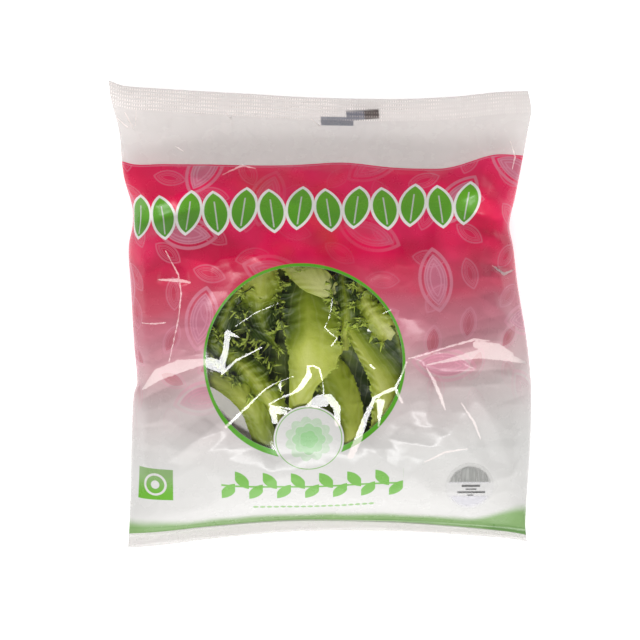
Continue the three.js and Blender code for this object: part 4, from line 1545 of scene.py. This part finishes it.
# Darker leaves below them, which close the gaps; their dark tone is painted shade deep in the bag
DEEP_LEAVES = (
    dict(
        spine=((-48, -12, 11), (-54, 0, 9), (-52, 12, 8), (-44, 24, 8), (-34, 36, 9)),
        left=(9, 11, 12, 11, 8), right=(9, 11, 12, 11, 8), rib=(3, 3, 2.5, 2, 1.5),
        frill=(2, 4, 5, 5, 5), tone=(0.6, 0.65, 0.7, 0.7, 0.7), seed=21,
    ),
    dict(
        spine=((-26, -78, 16), (-25, -52, 17), (-24, -28, 17), (-22, -4, 16), (-24, 20, 15), (-30, 42, 15)),
        left=(8, 14, 20, 22, 20, 14), right=(10, 14, 16, 18, 20, 14), rib=(6, 6, 5, 4, 3, 2),
        frill=(1, 2, 2, 2, 3, 5), tone=(0.5, 0.85, 1, 1, 0.9, 0.8), seed=22,
    ),
    dict(
        spine=((4, -82, 14), (6, -58, 14), (14, -34, 16), (18, -10, 15), (16, 14, 13), (10, 38, 14)),
        left=(10, 12, 14, 18, 20, 14), right=(24, 28, 26, 22, 22, 16), rib=(6, 6, 5, 4, 3, 2),
        frill=(2, 4, 3, 3, 4, 5), tone=(0.6, 0.6, 0.8, 0.9, 0.85, 0.8), seed=23,
    ),
    dict(
        spine=((56, -74, 12), (58, -50, 12), (56, -26, 13), (50, -4, 12), (40, 14, 10), (28, 34, 11)),
        left=(8, 14, 18, 18, 14, 10), right=(8, 10, 12, 14, 14, 12), rib=(6, 6, 5, 4, 3, 2),
        frill=(1, 1, 2, 3, 4, 5), tone=(0.3, 0.4, 0.5, 0.6, 0.7, 0.7), seed=24,
    ),
    dict(
        spine=((-24, -20, 20), (-40, -26, 19), (-54, -28, 18), (-70, -26, 17)),
        left=(14, 16, 16, 12), right=(14, 18, 20, 16), rib=(5, 5, 4, 3),
        frill=(2, 3, 4, 5), tone=(0.8, 0.85, 0.8, 0.8), seed=25,
    ),
)
window_leaves = leaf_heap("window_leaves", WINDOW_LEAVES, (130, 23))
deep_leaves = leaf_heap("deep_leaves", DEEP_LEAVES, (90, 19))
for heap in (window_leaves, deep_leaves):
    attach(heap, "root")
    print(heap.name, "triangles:", sum(len(p.vertices) - 2 for p in heap.data.polygons))

# %% [markdown]
# The leaf's finish reads the numbers that its shape left on each point. The rib is pale, the blade turns
# a fuller green away from it and where the leaf is dark, which is partly painted shade, and the fringe's
# tips are painted bright, as painted light.

# %% Leaf finish
RIB_PALE = srgb(240, 242, 168)
BLADE_LIGHT = srgb(208, 216, 98)
BLADE_GREEN = srgb(156, 172, 32)
BLADE_DARK = srgb(110, 130, 6)
DARK_GREEN = srgb(52, 76, 2)
# painted light: the bright colour of the fringe's tips
TIP_PAINTED_LIGHT = srgb(226, 246, 110)


def leaf_finish():
    paint = Paint("lettuce")
    where = paint.take("ShaderNodeUVMap", "UV", {"uv_map": "flat"})
    spot = paint.take("ShaderNodeTexCoord", "Object")
    up = paint.take("ShaderNodeSeparateXYZ", "X", None, {0: where})
    blade = paint.take("ShaderNodeAttribute", "Fac", {"attribute_name": "blade"})
    tone = paint.take("ShaderNodeAttribute", "Fac", {"attribute_name": "tone"})
    edge = paint.take("ShaderNodeAttribute", "Fac", {"attribute_name": "edge"})
    cloudy = paint.noise(spot, 70.0, 3.0)
    broad = paint.noise(spot, 26.0, 1.0)
    reach = blade * 0.2 + tone * 0.62 + (cloudy - 0.5) * 0.35 + (broad - 0.5) * 0.5 + 0.14
    stops = [(0.0, RIB_PALE), (0.22, BLADE_LIGHT), (0.45, BLADE_GREEN), (0.7, BLADE_DARK), (1.0, DARK_GREEN)]
    colour = paint.take("ShaderNodeValToRGB", "Color", {"stops": stops}, {0: reach})
    streaks = paint.maths("SINE", blade * 7 + cloudy * 7)
    vein = paint.between(streaks, 0.7, 1.0) * paint.inside(edge - 0.8, 0.2)
    fine = paint.noise(spot, 420.0, 3.0, 0.6)
    colour = paint.blend(vein * 0.1, colour, RIB_PALE)
    # painted light: the fringe's tips are painted bright
    fringe = paint.between(edge + (cloudy - 0.5) * 0.3, 0.85, 1.25)
    colour = paint.blend(fringe * (1 - tone * 0.2) * 0.9, colour, TIP_PAINTED_LIGHT)
    sockets = {
        "Base Color": colour,
        "Roughness": fine * 0.25 + 0.3,
        "Normal": paint.bump(fine + streaks * 0.15, 0.0003, 0.7),
    }
    return paint.surface(paint.take("ShaderNodeBsdfPrincipled", "BSDF", None, sockets))


lettuce = leaf_finish()
window_leaves.data.materials.append(lettuce)
deep_leaves.data.materials.append(lettuce)
